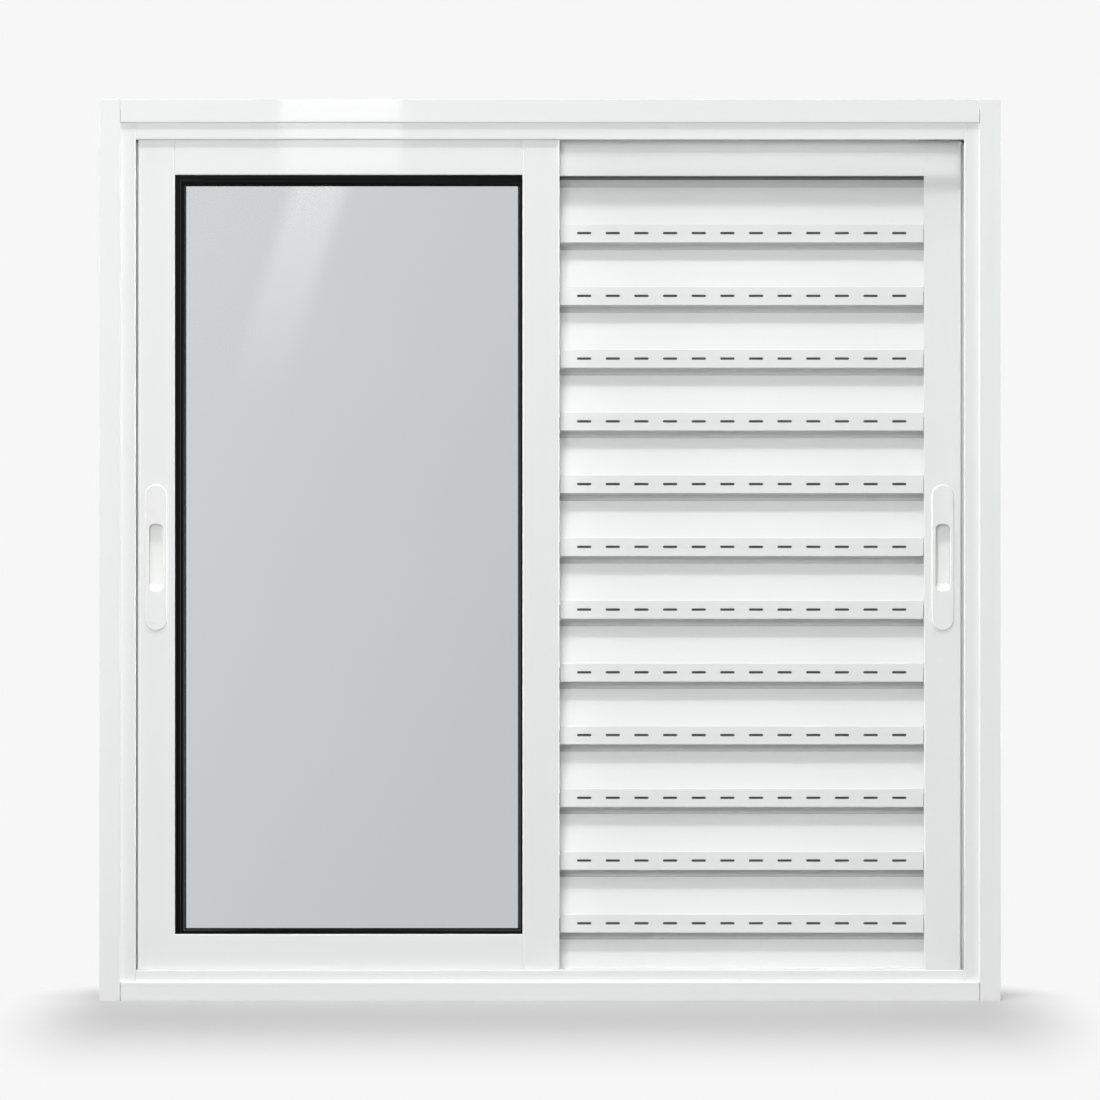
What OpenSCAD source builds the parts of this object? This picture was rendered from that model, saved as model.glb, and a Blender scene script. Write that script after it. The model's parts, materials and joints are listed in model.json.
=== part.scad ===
// Sliding window with a glazed leaf and a slotted louvre leaf, in millimetres.
// Front is -Y, up is +Z; x = 0 is mid-width, y = 0 is mid-depth, z = 0 is the bottom edge.

/* [Overall] */
// Width over the cover trims
window_w = 1000; // [900:10:1200]
// Height over the cover trims
window_h = 1000; // [900:10:1200]

/* [Cover trims] */
// Face width of the side trims
trim_side_w = 23; // [20:0.5:30]
// Face width of the top trim
trim_top_w = 26; // [20:0.5:34]
// Face width of the bottom trim
trim_bottom_w = 20.8; // [18:0.1:28]
// How far the trim face stands in front of the frame face
trim_stand = 5; // [3:0.5:8]
// Trim wall thickness
trim_t = 1.4; // [1:0.1:2]
// Depth of the trim's outer leg, face to wall
trim_leg_d = 13; // [10:0.5:18]
// How far the trims reach past the frame at the sides and top
wall_lap = 12; // [11:0.5:16]
// How far the bottom trim reaches past the frame
wall_lap_bottom = 8; // [6:0.5:12]
// Thickness of the trim's clip leg
clip_t = 1.2; // [0.8:0.1:1.6]
// Depth of the clip barb behind the frame nib
clip_barb = 1; // [0.6:0.1:1.2]
// Play around the clip
clip_gap = 0.3; // [0.2:0.05:0.4]

/* [Outer frame] */
// Wall thickness of head, sill and jambs
frame_wall = 1.6; // [1.2:0.1:2.2]
// Visible face width of the jambs
ring_side_w = 17.3; // [14:0.1:24]
// Visible face width of the head
ring_top_w = 18.5; // [14:0.1:26]
// Visible face width of the sill
ring_bottom_w = 13.2; // [12:0.1:20]
// Depth of the turned-in edge of the frame face
ring_return = 4.5; // [3:0.5:5]
// Nib of the frame face that the trims clip behind
clip_nib = 1.5; // [1.2:0.1:2]
// Thickness of the track fins
fin_t = 1.6; // [1.2:0.1:2]
// How far the jamb fins reach past the frame face's edge
jamb_fin_reach = 7.8; // [6:0.1:8]
// How far the head fins end above the head's lower edge
head_fin_rise = 1.5; // [1:0.1:3]
// Thickness of the sill's roller rails
rail_t = 2.6; // [2:0.1:3]
// Height of the roller rails above the sill floor
rail_h = 8.8; // [8:0.1:9.5]
// How far the sill's rear wall is lower than its front wall
sill_rear_drop = 6; // [2:0.5:10]
// Outer radius of the screw ports
port_r = 3.2; // [2.8:0.1:3.4]
// Overlap of a screw port with the wall it stands on
port_seat = 0.4; // [0.2:0.1:0.6]
// Distance of a screw port from the leaf face beside it
port_u = 6.2; // [5.5:0.1:7]
// Length of a drain slot
weep_w = 22; // [15:1:30]
// Height of a drain slot
weep_h = 4; // [3:0.5:6]
// Number of drain slots
weep_count = 4; // [2:1:6]
// Radius of the wall screw holes
wall_hole_r = 2.75; // [2.5:0.05:3.5]
// Distance of the wall screw holes from the top and bottom edges
wall_hole_inset = 150; // [100:5:250]

/* [Leaves] */
// Setback of the front leaf behind the frame face
sash_setback = 6; // [5.5:0.5:9]
// Thickness of a leaf
sash_d = 25; // [24:0.5:28]
// Gap between the leaves
sash_gap = 5; // [4.5:0.5:8]
// Gap between the rear leaf and the frame's rear wall
rear_clear = 4.4; // [3:0.1:8]
// Wall thickness of the leaf sections
sash_wall = 1.3; // [1:0.1:1.6]
// Face width of the stiles
stile_w = 41; // [40.5:0.5:46]
// Depth of the groove in a lock stile's outer edge
groove_w = 10; // [9.5:0.1:11]
// Depth of the pocket in a stile's inner edge
pocket_w = 11; // [10:0.1:11.5]
// Gap between the jamb face's edge and a closed leaf
sash_side_gap = 2.2; // [1.5:0.1:4]
// How far the meeting stiles stand towards the glazed leaf from the middle
meeting_shift = 10; // [0:0.5:20]
// How far the leaf tops reach up behind the head face
sash_head_lap = 9.5; // [8:0.5:12]
// Gap between the leaf feet and the sill floor
foot_clear = 2.4; // [1.5:0.1:3]
// Height of the roller groove under a leaf
foot_groove = 20.6; // [20.2:0.1:22]
// Depth of the groove in a leaf's top edge
top_groove = 12; // [11:0.5:14]
// Height of the top rails
top_rail_h = 48.5; // [44:0.5:60]
// Height of the glazed leaf's bottom rail
bottom_rail_h = 61.5; // [56:0.5:75]

/* [Glazing] */
// Thickness of the glass
glass_t = 4; // [3:0.5:6]
// Width of the glazing pocket
pocket_gap = 14.6; // [13:0.2:16]
// Play between the gasket and its pocket
gasket_gap = 0.2; // [0.1:0.05:0.3]
// Play between the gasket and the glass
glass_fit = 0.05; // [0.03:0.01:0.1]
// Depth of glass held in the gasket behind the flanges
glass_hold = 8; // [6:0.5:8.5]
// Flat black band left of the gasket ridge
gasket_band_left = 5; // [3:0.1:7]
// Flat black band above the gasket ridge
gasket_band_top = 4.5; // [3:0.1:7]
// Depth of the flat bands below the flange
gasket_band_d = 3; // [2:0.1:4]
// Visible ridge of the gasket at the left
gasket_ridge_left = 7.4; // [5:0.1:9]
// Visible ridge of the gasket at the top
gasket_ridge_top = 8; // [5:0.1:9]
// Visible ridge of the gasket at the meeting stile
gasket_ridge_right = 5.2; // [4:0.1:9]
// Visible ridge of the gasket at the bottom
gasket_ridge_bottom = 6.5; // [4:0.1:9]
// Width of the bevel on the ridge
gasket_bevel = 2.4; // [1.5:0.1:3.5]
// Visible edge of the gasket at the rear
gasket_rear_edge = 5; // [3:0.1:8]

/* [Slats] */
// Number of slats, the ripped one at the bottom included
slat_count = 13; // [13:1:13]
// Wall thickness of a slat
slat_t = 1.2; // [1:0.1:1.5]
// Height of the front lip
lip_h = 20.7; // [16:0.1:24]
// Setback of the lip behind the leaf face
lip_set = 0.4; // [0.2:0.1:1]
// Depth of the neck behind the leaf face
neck_u = 13.6; // [11:0.1:15]
// Height of the neck
neck_h = 10.2; // [7:0.1:12]
// Height of the dark recess under the next lip
recess_gap_h = 8.3; // [6:0.1:10]
// Depth of the tongue behind the leaf face
tongue_u = 20; // [19:0.1:20.8]
// How far the tongue rises past the slots in front of it
tongue_rise = 5; // [4:0.5:6]
// Height of the drip nib under the ledge
nib_h = 2; // [1:0.5:3]
// Play between interlocked slats
slat_gap = 0.2; // [0.1:0.05:0.3]
// Play between slats and stiles
slat_end_gap = 0.4; // [0.3:0.1:0.6]
// Drop of the top slat's lip line from the top rail's edge
top_reveal = 4; // [2:0.5:6]
// How far the ripped slat's slot line lies below the bottom rail's top
starter_drop = 19.6; // [17:0.1:22]
// Depth of the top rail's pocket over the slats
louvre_pocket = 15; // [14:0.5:17]
// Number of slots in a lip
slot_count = 12; // [8:1:14]
// Spacing of the slots
slot_pitch = 31.9; // [26:0.1:33]
// Length of a slot
slot_l = 16; // [12:0.5:20]
// Height of a slot
slot_h = 2.7; // [2:0.1:4]

/* [Pulls and latches] */
// Flat of the stile left on each side of the pull plate
pull_margin = 8.1; // [6:0.1:10]
// Height of the pull plate
pull_h = 162; // [140:1:180]
// How far the pull plate stands on the stile
pull_stand = 2.5; // [1.5:0.1:3.5]
// Height of the pull's middle as a share of the window's height
pull_share = 0.4915; // [0.4:0.0005:0.6]
// Height of the finger recess
recess_h = 74; // [60:1:90]
// Corner radius of the finger recess as a share of its width
recess_round_share = 0.39; // [0.25:0.01:0.48]
// Depth of the finger recess behind the stile face
cup_d = 9; // [8:0.2:9.4]
// Wall thickness of the recess
cup_wall = 0.9; // [0.7:0.05:0.95]
// Gap between the recess wall and the stile's tube
cup_gap = 0.1; // [0.05:0.05:0.2]
// Height of the ramp at the foot of the recess
ramp_h = 8; // [6:0.5:10]
// Vertical travel of the latch
latch_travel = 8; // [6:0.5:8]
// Thickness of the latch slider
slider_t = 2.2; // [1.5:0.1:3]
// Gap on each side of the latch slider
slider_gap = 0.5; // [0.3:0.05:0.8]
// How far the slider reaches past the recess
slider_lap = 4; // [3:0.5:6]
// Play around the latch
latch_gap = 0.4; // [0.3:0.05:0.5]
// Depth of the hook plate behind the stile face
hook_u = 16; // [15.8:0.1:16.6]
// Thickness of the hook plate
hook_t = 3; // [2:0.1:3.4]
// Height of the hook arm
hook_arm_h = 8; // [6:0.5:10]
// Height of the arm's underside above the pull's middle
hook_rise = 4; // [3:0.5:5]
// Length of the hook nose below the arm
hook_nose_h = 8.5; // [7:0.5:8.5]
// Width of the hook nose
hook_nose_w = 3.5; // [3:0.1:4]
// How far the nose reaches past the stile's edge
hook_reach = 18.5; // [17:0.5:20]
// Gap between the nose and the keeper bar
hook_bar_gap = 1.5; // [1:0.1:2]
// Height of the keeper bar
bar_h = 6.5; // [5:0.5:7]
// Width of the keeper bar
bar_w = 3; // [2.5:0.1:3.5]
// Thickness of the keeper's base and cheeks
keeper_t = 1.5; // [1.2:0.1:1.6]
// Height of the keeper's base
keeper_h = 44; // [40:1:50]
// Width of the stem between slider and hook as a share of the slider's width
stem_share = 0.6; // [0.5:0.05:0.8]

/* [Rollers and guides] */
// Rolling radius of a wheel
wheel_r = 6; // [5.5:0.1:6]
// Height of a wheel's flanges
wheel_flange = 1.5; // [1:0.1:1.5]
// Width of a wheel
wheel_w = 6.4; // [6:0.1:7]
// Half width of the wheel groove at its root
groove_root = 1.2; // [1.1:0.05:1.4]
// Half width of the wheel groove at its rim
groove_rim = 2; // [1.9:0.05:2.3]
// Gap between a wheel and its rail
wheel_gap = 0.3; // [0.25:0.05:0.4]
// Radius of a wheel axle
axle_r = 2; // [1.5:0.1:2.2]
// Radial play of a wheel on its axle
axle_fit = 0.05; // [0.03:0.01:0.08]
// Radial play of an axle in its housing
axle_press = 0.02; // [0.01:0.01:0.03]
// Side play of a wheel in its housing
wheel_side_gap = 0.5; // [0.3:0.05:0.8]
// Distance of a wheel from the leaf's edge
roller_inset = 75; // [70:1:110]
// Length of a roller housing
housing_l = 46; // [40:1:60]
// Gap between a housing and the rail around it
housing_gap = 0.3; // [0.2:0.05:0.4]
// Gap between a housing and the sill floor
housing_clear = 7.4; // [7.2:0.1:7.6]
// Length of a top guide block
guide_l = 26; // [20:1:30]
// Rise of a guide above the leaf's top
guide_rise = 1.5; // [1:0.5:3]
// Play of a guide on its fin
guide_run = 0.5; // [0.3:0.05:0.7]
// Gap between a guide and the stile around it
guide_gap = 0.3; // [0.2:0.05:0.4]
// Length of the rear opening stop
opening_stop_l = 55.9; // [50:0.1:120]
// Half width of a travel stop
stop_half_w = 5; // [4:0.5:7]
// Height of a travel stop
stop_h = 19; // [15:0.5:22]
// Gap between a travel stop and the leaf
stop_gap = 0.3; // [0.2:0.05:0.5]

/* [Seals and screws] */
// Width of a pile strip
pile_w = 4.6; // [4:0.1:5]
// Height of the lock pile
pile_h = 4; // [3:0.1:4.1]
// Reach of the meeting pile behind the glazed leaf
pile_reach = 4.3; // [3:0.1:4.4]
// Distance of the meeting pile from the stile's edge
pile_s = 8; // [6:0.5:12]
// Depth of the meeting pile's channel
pile_channel_d = 3.7; // [3:0.1:4.5]
// Gap beside the meeting pile
pile_gap = 0.2; // [0.1:0.05:0.3]
// Gap of the pile ends from the rails
pile_end = 8; // [5:1:20]
// Radius of a screw shank
screw_r = 1.75; // [1.5:0.05:1.8]
// Radial play of a screw
screw_fit = 0.05; // [0.03:0.01:0.1]
// Radius of a screw head
screw_head_r = 3.4; // [3:0.1:3.5]
// Height of a screw head
screw_head_h = 2.2; // [1.5:0.1:2.5]
// Length of a screw in its port
screw_l = 22; // [15:1:30]
// Radius of the access holes for the leaf screws
access_r = 4.2; // [4:0.1:4.5]
// Length of a keeper screw behind the keeper
keeper_screw_l = 8; // [6:0.5:12]

/* [Hidden] */
round_fn = 48;
// Overrun of every cut past the face it opens
over = 0.5;
half_w = window_w / 2;
depth = trim_stand + sash_setback + 2 * sash_d + sash_gap + rear_clear + frame_wall;
front_y = -depth / 2;
rear_y = depth / 2;
ring_y = front_y + trim_stand;
wall_y = front_y + trim_leg_d;
glass_y = ring_y + sash_setback;
louvre_y = glass_y + sash_d + sash_gap;
track_u = sash_d / 2;
track_ys = [glass_y + track_u, louvre_y + track_u];
ring_a = trim_side_w + ring_side_w;
ring_top_z = window_h - trim_top_w - ring_top_w;
ring_bottom_z = trim_bottom_w + ring_bottom_w;
body_a = wall_lap;
web_a = body_a + frame_wall;
body_top_z = window_h - wall_lap;
body_bottom_z = wall_lap_bottom;
head_under_z = body_top_z - frame_wall;
sill_floor_z = body_bottom_z + frame_wall;
sill_rear_z = ring_bottom_z - sill_rear_drop;
fin_a = ring_a + jamb_fin_reach;
head_fin_z = ring_top_z + head_fin_rise;
rail_top_z = sill_floor_z + rail_h;
sill_port_z = sill_floor_z + port_r - port_seat;
head_port_z = head_under_z - port_r + port_seat;
port_ys = [glass_y + port_u, louvre_y + port_u];
port_hole_r = screw_r + screw_fit;
sash_a = ring_a + sash_side_gap;
web_s = web_a - sash_a;
far_web_s = window_w - web_a - sash_a;
sash_top_z = ring_top_z + sash_head_lap;
sash_foot_z = sill_floor_z + foot_clear;
foot_ceiling_z = sash_foot_z + foot_groove;
foot_top_z = foot_ceiling_z + sash_wall;
notch_z = sash_top_z - top_groove;
edge_top_z = sash_top_z - top_rail_h;
edge_bottom_z = sash_foot_z + bottom_rail_h;
glass_sash_w = (window_w + stile_w) / 2 - sash_a - meeting_shift;
louvre_sash_w = (window_w + stile_w) / 2 - sash_a + meeting_shift;
slide_travel = far_web_s - max(glass_sash_w, louvre_sash_w) - opening_stop_l;
tube_s = stile_w - pocket_w;
tube_in = tube_s - groove_w - 2 * sash_wall;
pull_s = (groove_w + tube_s) / 2;
pull_z = window_h * pull_share;
pull_w = stile_w - 2 * pull_margin;
recess_w = tube_in - 2 * cup_wall - 2 * cup_gap;
recess_r = recess_w * recess_round_share;
slider_w = tube_in - 2 * slider_gap;
stem_w = slider_w * stem_share;
glaze_u = sash_wall + pocket_gap;
full_u = sash_d - sash_wall;
top_port_z = notch_z - sash_wall - port_r + port_seat;
foot_port_z = foot_top_z + port_r - port_seat;
louvre_port_u = full_u - access_r;
glass_u = sash_wall + (pocket_gap - glass_t) / 2;
slat_pitch = (edge_top_z - foot_top_z + lip_h / 2 - top_reveal + starter_drop) / slat_count;
slat_len = louvre_sash_w - 2 * tube_s - 2 * slat_end_gap;
ledge_v = slat_pitch - lip_h / 2 - recess_gap_h;
neck_v = ledge_v - neck_h;
leg_u = tongue_u - slat_gap - slat_t;
leg_v = ledge_v + slat_gap - slat_pitch;
hook_z = pull_z + hook_rise;
bar_top_z = hook_z - hook_nose_h - latch_gap;
bar_s = hook_nose_w - hook_reach + hook_bar_gap;
slider_z0 = pull_z - recess_h / 2 + ramp_h - slider_lap;
slider_z1 = pull_z + recess_h / 2 + latch_travel + slider_lap;
slider_u = cup_d + latch_gap;
wheel_z = rail_top_z + wheel_gap + wheel_r;
white = [0.92, 0.93, 0.93];
black = [0.06, 0.06, 0.06];
grey = [0.55, 0.56, 0.57];
steel = [0.72, 0.72, 0.74];
tint = [0.78, 0.80, 0.82, 0.6];
frame_nodes = ["head", "sill", "left_jamb", "right_jamb", "top_trim", "bottom_trim", "left_trim",
    "right_trim", "left_keeper", "right_keeper", "frame_screws", "keeper_screws", "closing_stops",
    "opening_stops"];
glass_nodes = ["glass_lock_stile", "glass_meeting_stile", "glass_top_rail", "glass_bottom_rail",
    "glass_pane", "glazing_gasket", "glass_pull_plate", "glass_latch_slider", "glass_latch_hook",
    "glass_sash_screws", "glass_lock_pile", "glass_meeting_pile", "glass_top_guides",
    "glass_lock_roller", "glass_meeting_roller", "glass_axles", "glass_lock_wheel",
    "glass_meeting_wheel"];
louvre_nodes = ["louvre_lock_stile", "louvre_meeting_stile", "louvre_top_rail", "louvre_bottom_rail",
    "louvre_pull_plate", "louvre_latch_slider", "louvre_latch_hook", "louvre_sash_screws",
    "louvre_lock_pile", "louvre_top_guides", "louvre_lock_roller", "louvre_meeting_roller",
    "louvre_axles", "louvre_lock_wheel", "louvre_meeting_wheel"];
// Slats are counted from the top
slat_nodes = [for (i = [1:slat_count]) str("slat_", i)];

// Rectangle and box between two corners
module rect(p, q) {
    translate(p) square(q - p);
}
module box(p, q) {
    translate(p) cube(q - p);
}
// Extrusions along an axis: sections in (x, y), (y, z) and (x, z)
module along_z(z0, z1) {
    translate([0, 0, z0]) linear_extrude(z1 - z0) children();
}
module along_x(x0, x1) {
    translate([x0, 0, 0]) rotate([90, 0, 90]) linear_extrude(x1 - x0) children();
}
module along_y(y0, y1) {
    translate([0, y1, 0]) rotate([90, 0, 0]) linear_extrude(y1 - y0) children();
}
module rod_x(x0, x1, y, z, r) {
    translate([x0, y, z]) rotate([0, 90, 0]) cylinder(r = r, h = x1 - x0, $fn = round_fn);
}
module rod_y(x, y0, y1, z, r) {
    translate([x, y1, z]) rotate([90, 0, 0]) cylinder(r = r, h = y1 - y0, $fn = round_fn);
}
module disc(p, r) {
    translate(p) circle(r = r, $fn = round_fn);
}

// Frames of reference: the left edge, the right edge and the two leaves
module at_left() {
    translate([-half_w, 0, 0]) children();
}
module at_right() {
    mirror([1, 0, 0]) at_left() children();
}
module in_glass() {
    translate([sash_a - half_w, glass_y, 0]) children();
}
module in_louvre() {
    mirror([1, 0, 0]) translate([sash_a - half_w, louvre_y, 0]) children();
}
// The meeting end of a leaf, seen from its own edge
module from_meeting(w) {
    translate([w, 0, 0]) mirror([1, 0, 0]) children();
}

// Cover trims
module trim_section(w, lap) {
    clip_a = lap - clip_nib - clip_gap;
    barb_y = ring_y + frame_wall + clip_gap;
    rect([0, front_y], [w, front_y + trim_t]);
    rect([0, front_y], [trim_t, wall_y]);
    rect([w - trim_t, front_y], [w, ring_y]);
    rect([clip_a - clip_t, front_y], [clip_a, barb_y + clip_t]);
    rect([clip_a - clip_t, barb_y], [clip_a + clip_barb, barb_y + clip_t]);
}
module side_trim() {
    along_z(0, window_h) trim_section(trim_side_w, wall_lap);
}
module level_trim(w, lap) {
    mirror([1, 0, -1]) along_z(trim_side_w - half_w, half_w - trim_side_w) trim_section(w, lap);
}
module left_trim() {
    color(white) at_left() side_trim();
}
module right_trim() {
    color(white) at_right() side_trim();
}
module bottom_trim() {
    color(white) level_trim(trim_bottom_w, wall_lap_bottom);
}
module top_trim() {
    color(white) translate([0, 0, window_h]) mirror([0, 0, 1]) level_trim(trim_top_w, wall_lap);
}

// Jambs
module jamb_section() {
    rect([body_a, ring_y], [web_a, rear_y]);
    rect([body_a - clip_nib, ring_y], [ring_a, ring_y + frame_wall]);
    rect([ring_a - frame_wall, ring_y], [ring_a, ring_y + ring_return]);
    rect([body_a, rear_y - frame_wall], [ring_a, rear_y]);
}
// Fin that enters the side groove of the leaf that closes here, up to its top guide
module jamb_fin(y) {
    box([body_a, y - fin_t / 2, sill_rear_z], [fin_a, y + fin_t / 2, notch_z - guide_gap]);
}
module jamb(leaf_y) {
    inner_y = ring_y + ring_return;
    hole_y = (track_ys[0] + track_ys[1]) / 2;
    difference() {
        union() {
            along_z(body_bottom_z, body_top_z) jamb_section();
            jamb_fin(leaf_y + track_u);
        }
        box([web_a, inner_y, ring_top_z], [fin_a + over, rear_y + over, body_top_z + over]);
        box([web_a, inner_y, body_bottom_z - over], [fin_a + over, rear_y + over, sill_rear_z]);
        for (z = [wall_hole_inset, window_h - wall_hole_inset]) {
            rod_x(body_a - over, web_a + over, hole_y, z, wall_hole_r);
        }
        for (y = port_ys, z = [sill_port_z, head_port_z]) {
            rod_x(body_a - over, web_a + over, y, z, port_hole_r);
        }
        for (z = keeper_screw_zs()) {
            rod_x(body_a - over, web_a + over, leaf_y + hook_u + hook_t / 2, z, port_hole_r);
        }
    }
}
module left_jamb() {
    color(white) at_left() jamb(glass_y);
}
module right_jamb() {
    color(white) at_right() jamb(louvre_y);
}

// Head and sill
module port(y, z) {
    difference() {
        disc([y, z], port_r);
        disc([y, z], port_hole_r);
    }
}
module head_section() {
    rect([ring_y, head_under_z], [rear_y, body_top_z]);
    rect([ring_y, ring_top_z], [ring_y + frame_wall, body_top_z + clip_nib]);
    rect([ring_y, ring_top_z], [ring_y + ring_return, ring_top_z + frame_wall]);
    rect([rear_y - frame_wall, ring_top_z], [rear_y, body_top_z]);
    for (y = track_ys) {
        rect([y - fin_t / 2, head_fin_z], [y + fin_t / 2, body_top_z]);
    }
    for (y = port_ys) {
        port(y, head_port_z);
    }
}
module sill_section() {
    rect([ring_y, body_bottom_z], [rear_y, sill_floor_z]);
    rect([ring_y, body_bottom_z - clip_nib], [ring_y + frame_wall, ring_bottom_z]);
    rect([ring_y, ring_bottom_z - frame_wall], [ring_y + ring_return, ring_bottom_z]);
    rect([rear_y - frame_wall, body_bottom_z], [rear_y, sill_rear_z]);
    for (y = track_ys) {
        rect([y - rail_t / 2, body_bottom_z], [y + rail_t / 2, rail_top_z - rail_t / 2]);
        disc([y, rail_top_z - rail_t / 2], rail_t / 2);
    }
    for (y = port_ys) {
        port(y, sill_port_z);
    }
}
// Ends cut back so that the jamb faces run through
module between_jambs() {
    difference() {
        along_x(web_a - half_w, half_w - web_a) children();
        for (side = [0, 1]) {
            mirror([side, 0, 0]) box([-half_w, ring_y - over, 0],
                [ring_a - half_w, ring_y + ring_return, window_h]);
        }
    }
}
module head() {
    color(white) between_jambs() head_section();
}
module sill() {
    weep_span = window_w - 2 * ring_a;
    color(white) difference() {
        between_jambs() sill_section();
        for (i = [1:weep_count]) {
            weep_x = weep_span * (i / (weep_count + 1)) - weep_span / 2;
            box([weep_x - weep_w / 2, rear_y - frame_wall - over, sill_floor_z],
                [weep_x + weep_w / 2, rear_y + over, sill_floor_z + weep_h]);
        }
    }
}
module frame_screw(y, z) {
    rod_x(body_a - screw_head_h, body_a, y, z, screw_head_r);
    rod_x(body_a - screw_head_h / 2, web_a + screw_l, y, z, screw_r);
}
module frame_screws() {
    color(steel) for (y = port_ys, z = [sill_port_z, head_port_z]) {
        at_left() frame_screw(y, z);
        at_right() frame_screw(y, z);
    }
}

// Keepers for the latch hooks, placed from the leaf's edge
function keeper_zs() = [bar_top_z + bar_h - keeper_h + hook_nose_h, bar_top_z + bar_h + hook_nose_h];
function keeper_screw_zs() = [keeper_zs()[0] + screw_head_r + keeper_t,
    keeper_zs()[1] - screw_head_r - keeper_t];
module keeper() {
    cheek_us = [hook_u - latch_gap - keeper_t, hook_u + hook_t + latch_gap];
    cheek_z = bar_top_z - bar_h - keeper_t;
    screw_y = hook_u + hook_t / 2;
    difference() {
        box([web_s, cheek_us[0], keeper_zs()[0]], [web_s + keeper_t, cheek_us[1] + keeper_t, keeper_zs()[1]]);
        for (z = keeper_screw_zs()) {
            rod_x(web_s - over, web_s + keeper_t + over, screw_y, z, port_hole_r);
        }
    }
    for (u = cheek_us) {
        box([web_s, u, cheek_z], [bar_s + bar_w, u + keeper_t, bar_top_z]);
    }
    box([bar_s, cheek_us[0], bar_top_z - bar_h], [bar_s + bar_w, cheek_us[1] + keeper_t, bar_top_z]);
}
module left_keeper() {
    color(steel) in_glass() keeper();
}
module right_keeper() {
    color(steel) in_louvre() keeper();
}
module keeper_screw(z) {
    screw_y = hook_u + hook_t / 2;
    face_s = web_s + keeper_t;
    rod_x(face_s, face_s + screw_head_h, screw_y, z, screw_head_r);
    rod_x(face_s - keeper_screw_l, face_s + screw_head_h / 2, screw_y, z, screw_r);
}
module keeper_screws() {
    color(steel) for (z = keeper_screw_zs()) {
        in_glass() keeper_screw(z);
        in_louvre() keeper_screw(z);
    }
}

// Travel stops that saddle the head fins
module stop_block(s0, s1) {
    z0 = head_fin_z - head_fin_rise;
    slot_u = fin_t / 2 + clip_gap / 2;
    difference() {
        box([s0, track_u - stop_half_w, z0], [s1, track_u + stop_half_w, z0 + stop_h]);
        box([s0 - over, track_u - slot_u, head_fin_z - clip_gap / 2],
            [s1 + over, track_u + slot_u, z0 + stop_h + over]);
    }
}
module closing_stops() {
    color(grey) {
        in_glass() stop_block(web_s, guide_gap - stop_gap);
        in_louvre() stop_block(web_s, guide_gap - stop_gap);
    }
}
module opening_stops() {
    color(grey) {
        in_glass() stop_block(glass_sash_w - guide_gap + slide_travel + stop_gap, far_web_s);
        in_louvre() stop_block(louvre_sash_w - guide_gap + slide_travel + stop_gap, far_web_s);
    }
}

// Leaf stiles, drawn from the leaf's edge inwards
module stile_section(outer_s, leg_at) {
    rect([0, 0], [stile_w, sash_wall]);
    rect([0, full_u], [tube_s, sash_d]);
    rect([outer_s, 0], [outer_s + sash_wall, sash_d]);
    rect([tube_s - sash_wall, 0], [tube_s, sash_d]);
    rect([tube_s - sash_wall, leg_at], [stile_w, leg_at + sash_wall]);
}
module stile_ends(foot_screw_u) {
    box([-over, sash_wall, notch_z], [stile_w + over, full_u, sash_top_z + over]);
    box([-over, sash_wall, sash_foot_z - over], [stile_w + over, full_u, foot_ceiling_z]);
    for (p = [[track_u, top_port_z], [foot_screw_u, foot_port_z]]) {
        rod_x(-over, tube_s - sash_wall - screw_head_h, p[0], p[1], access_r);
        rod_x(tube_s - sash_wall - over, tube_s + over, p[0], p[1], port_hole_r);
    }
}
module lock_stile(leg_at, foot_screw_u) {
    cut_w = recess_w / 2 + cup_wall + cup_gap;
    cut_h = recess_h / 2 + cup_wall + cup_gap;
    difference() {
        along_z(sash_foot_z, sash_top_z) stile_section(groove_w, leg_at);
        stile_ends(foot_screw_u);
        box([pull_s - cut_w, -over, pull_z - cut_h], [pull_s + cut_w, sash_wall + over, pull_z + cut_h]);
        box([groove_w - over, hook_u - latch_gap, hook_z - latch_travel - latch_gap],
            [groove_w + sash_wall + over, hook_u + hook_t + latch_gap, hook_z + hook_arm_h + latch_gap]);
    }
}
module meeting_stile(leg_at, foot_screw_u) {
    difference() {
        along_z(sash_foot_z, sash_top_z) stile_section(0, leg_at);
        stile_ends(foot_screw_u);
    }
}
// Channel for the meeting pile, folded into the rear wall
module pile_channel() {
    s0 = pile_s - pile_gap;
    s1 = pile_s + pile_w + pile_gap;
    floor_u = sash_d - pile_channel_d;
    for (s = [s0 - sash_wall, s1]) {
        rect([s, floor_u - sash_wall], [s + sash_wall, sash_d]);
    }
    rect([s0 - sash_wall, floor_u - sash_wall], [s1 + sash_wall, floor_u]);
}
module glass_lock_stile() {
    color(white) in_glass() lock_stile(glaze_u, track_u);
}
module glass_meeting_stile() {
    color(white) in_glass() from_meeting(glass_sash_w) {
        difference() {
            meeting_stile(glaze_u, track_u);
            box([pile_s - pile_gap, sash_d - pile_channel_d, sash_foot_z - over],
                [pile_s + pile_w + pile_gap, sash_d + over, sash_top_z + over]);
        }
        along_z(foot_ceiling_z, notch_z) pile_channel();
    }
}
module louvre_lock_stile() {
    color(white) in_louvre() lock_stile(full_u, louvre_port_u);
}
module louvre_meeting_stile() {
    color(white) in_louvre() from_meeting(louvre_sash_w) meeting_stile(full_u, louvre_port_u);
}

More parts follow.
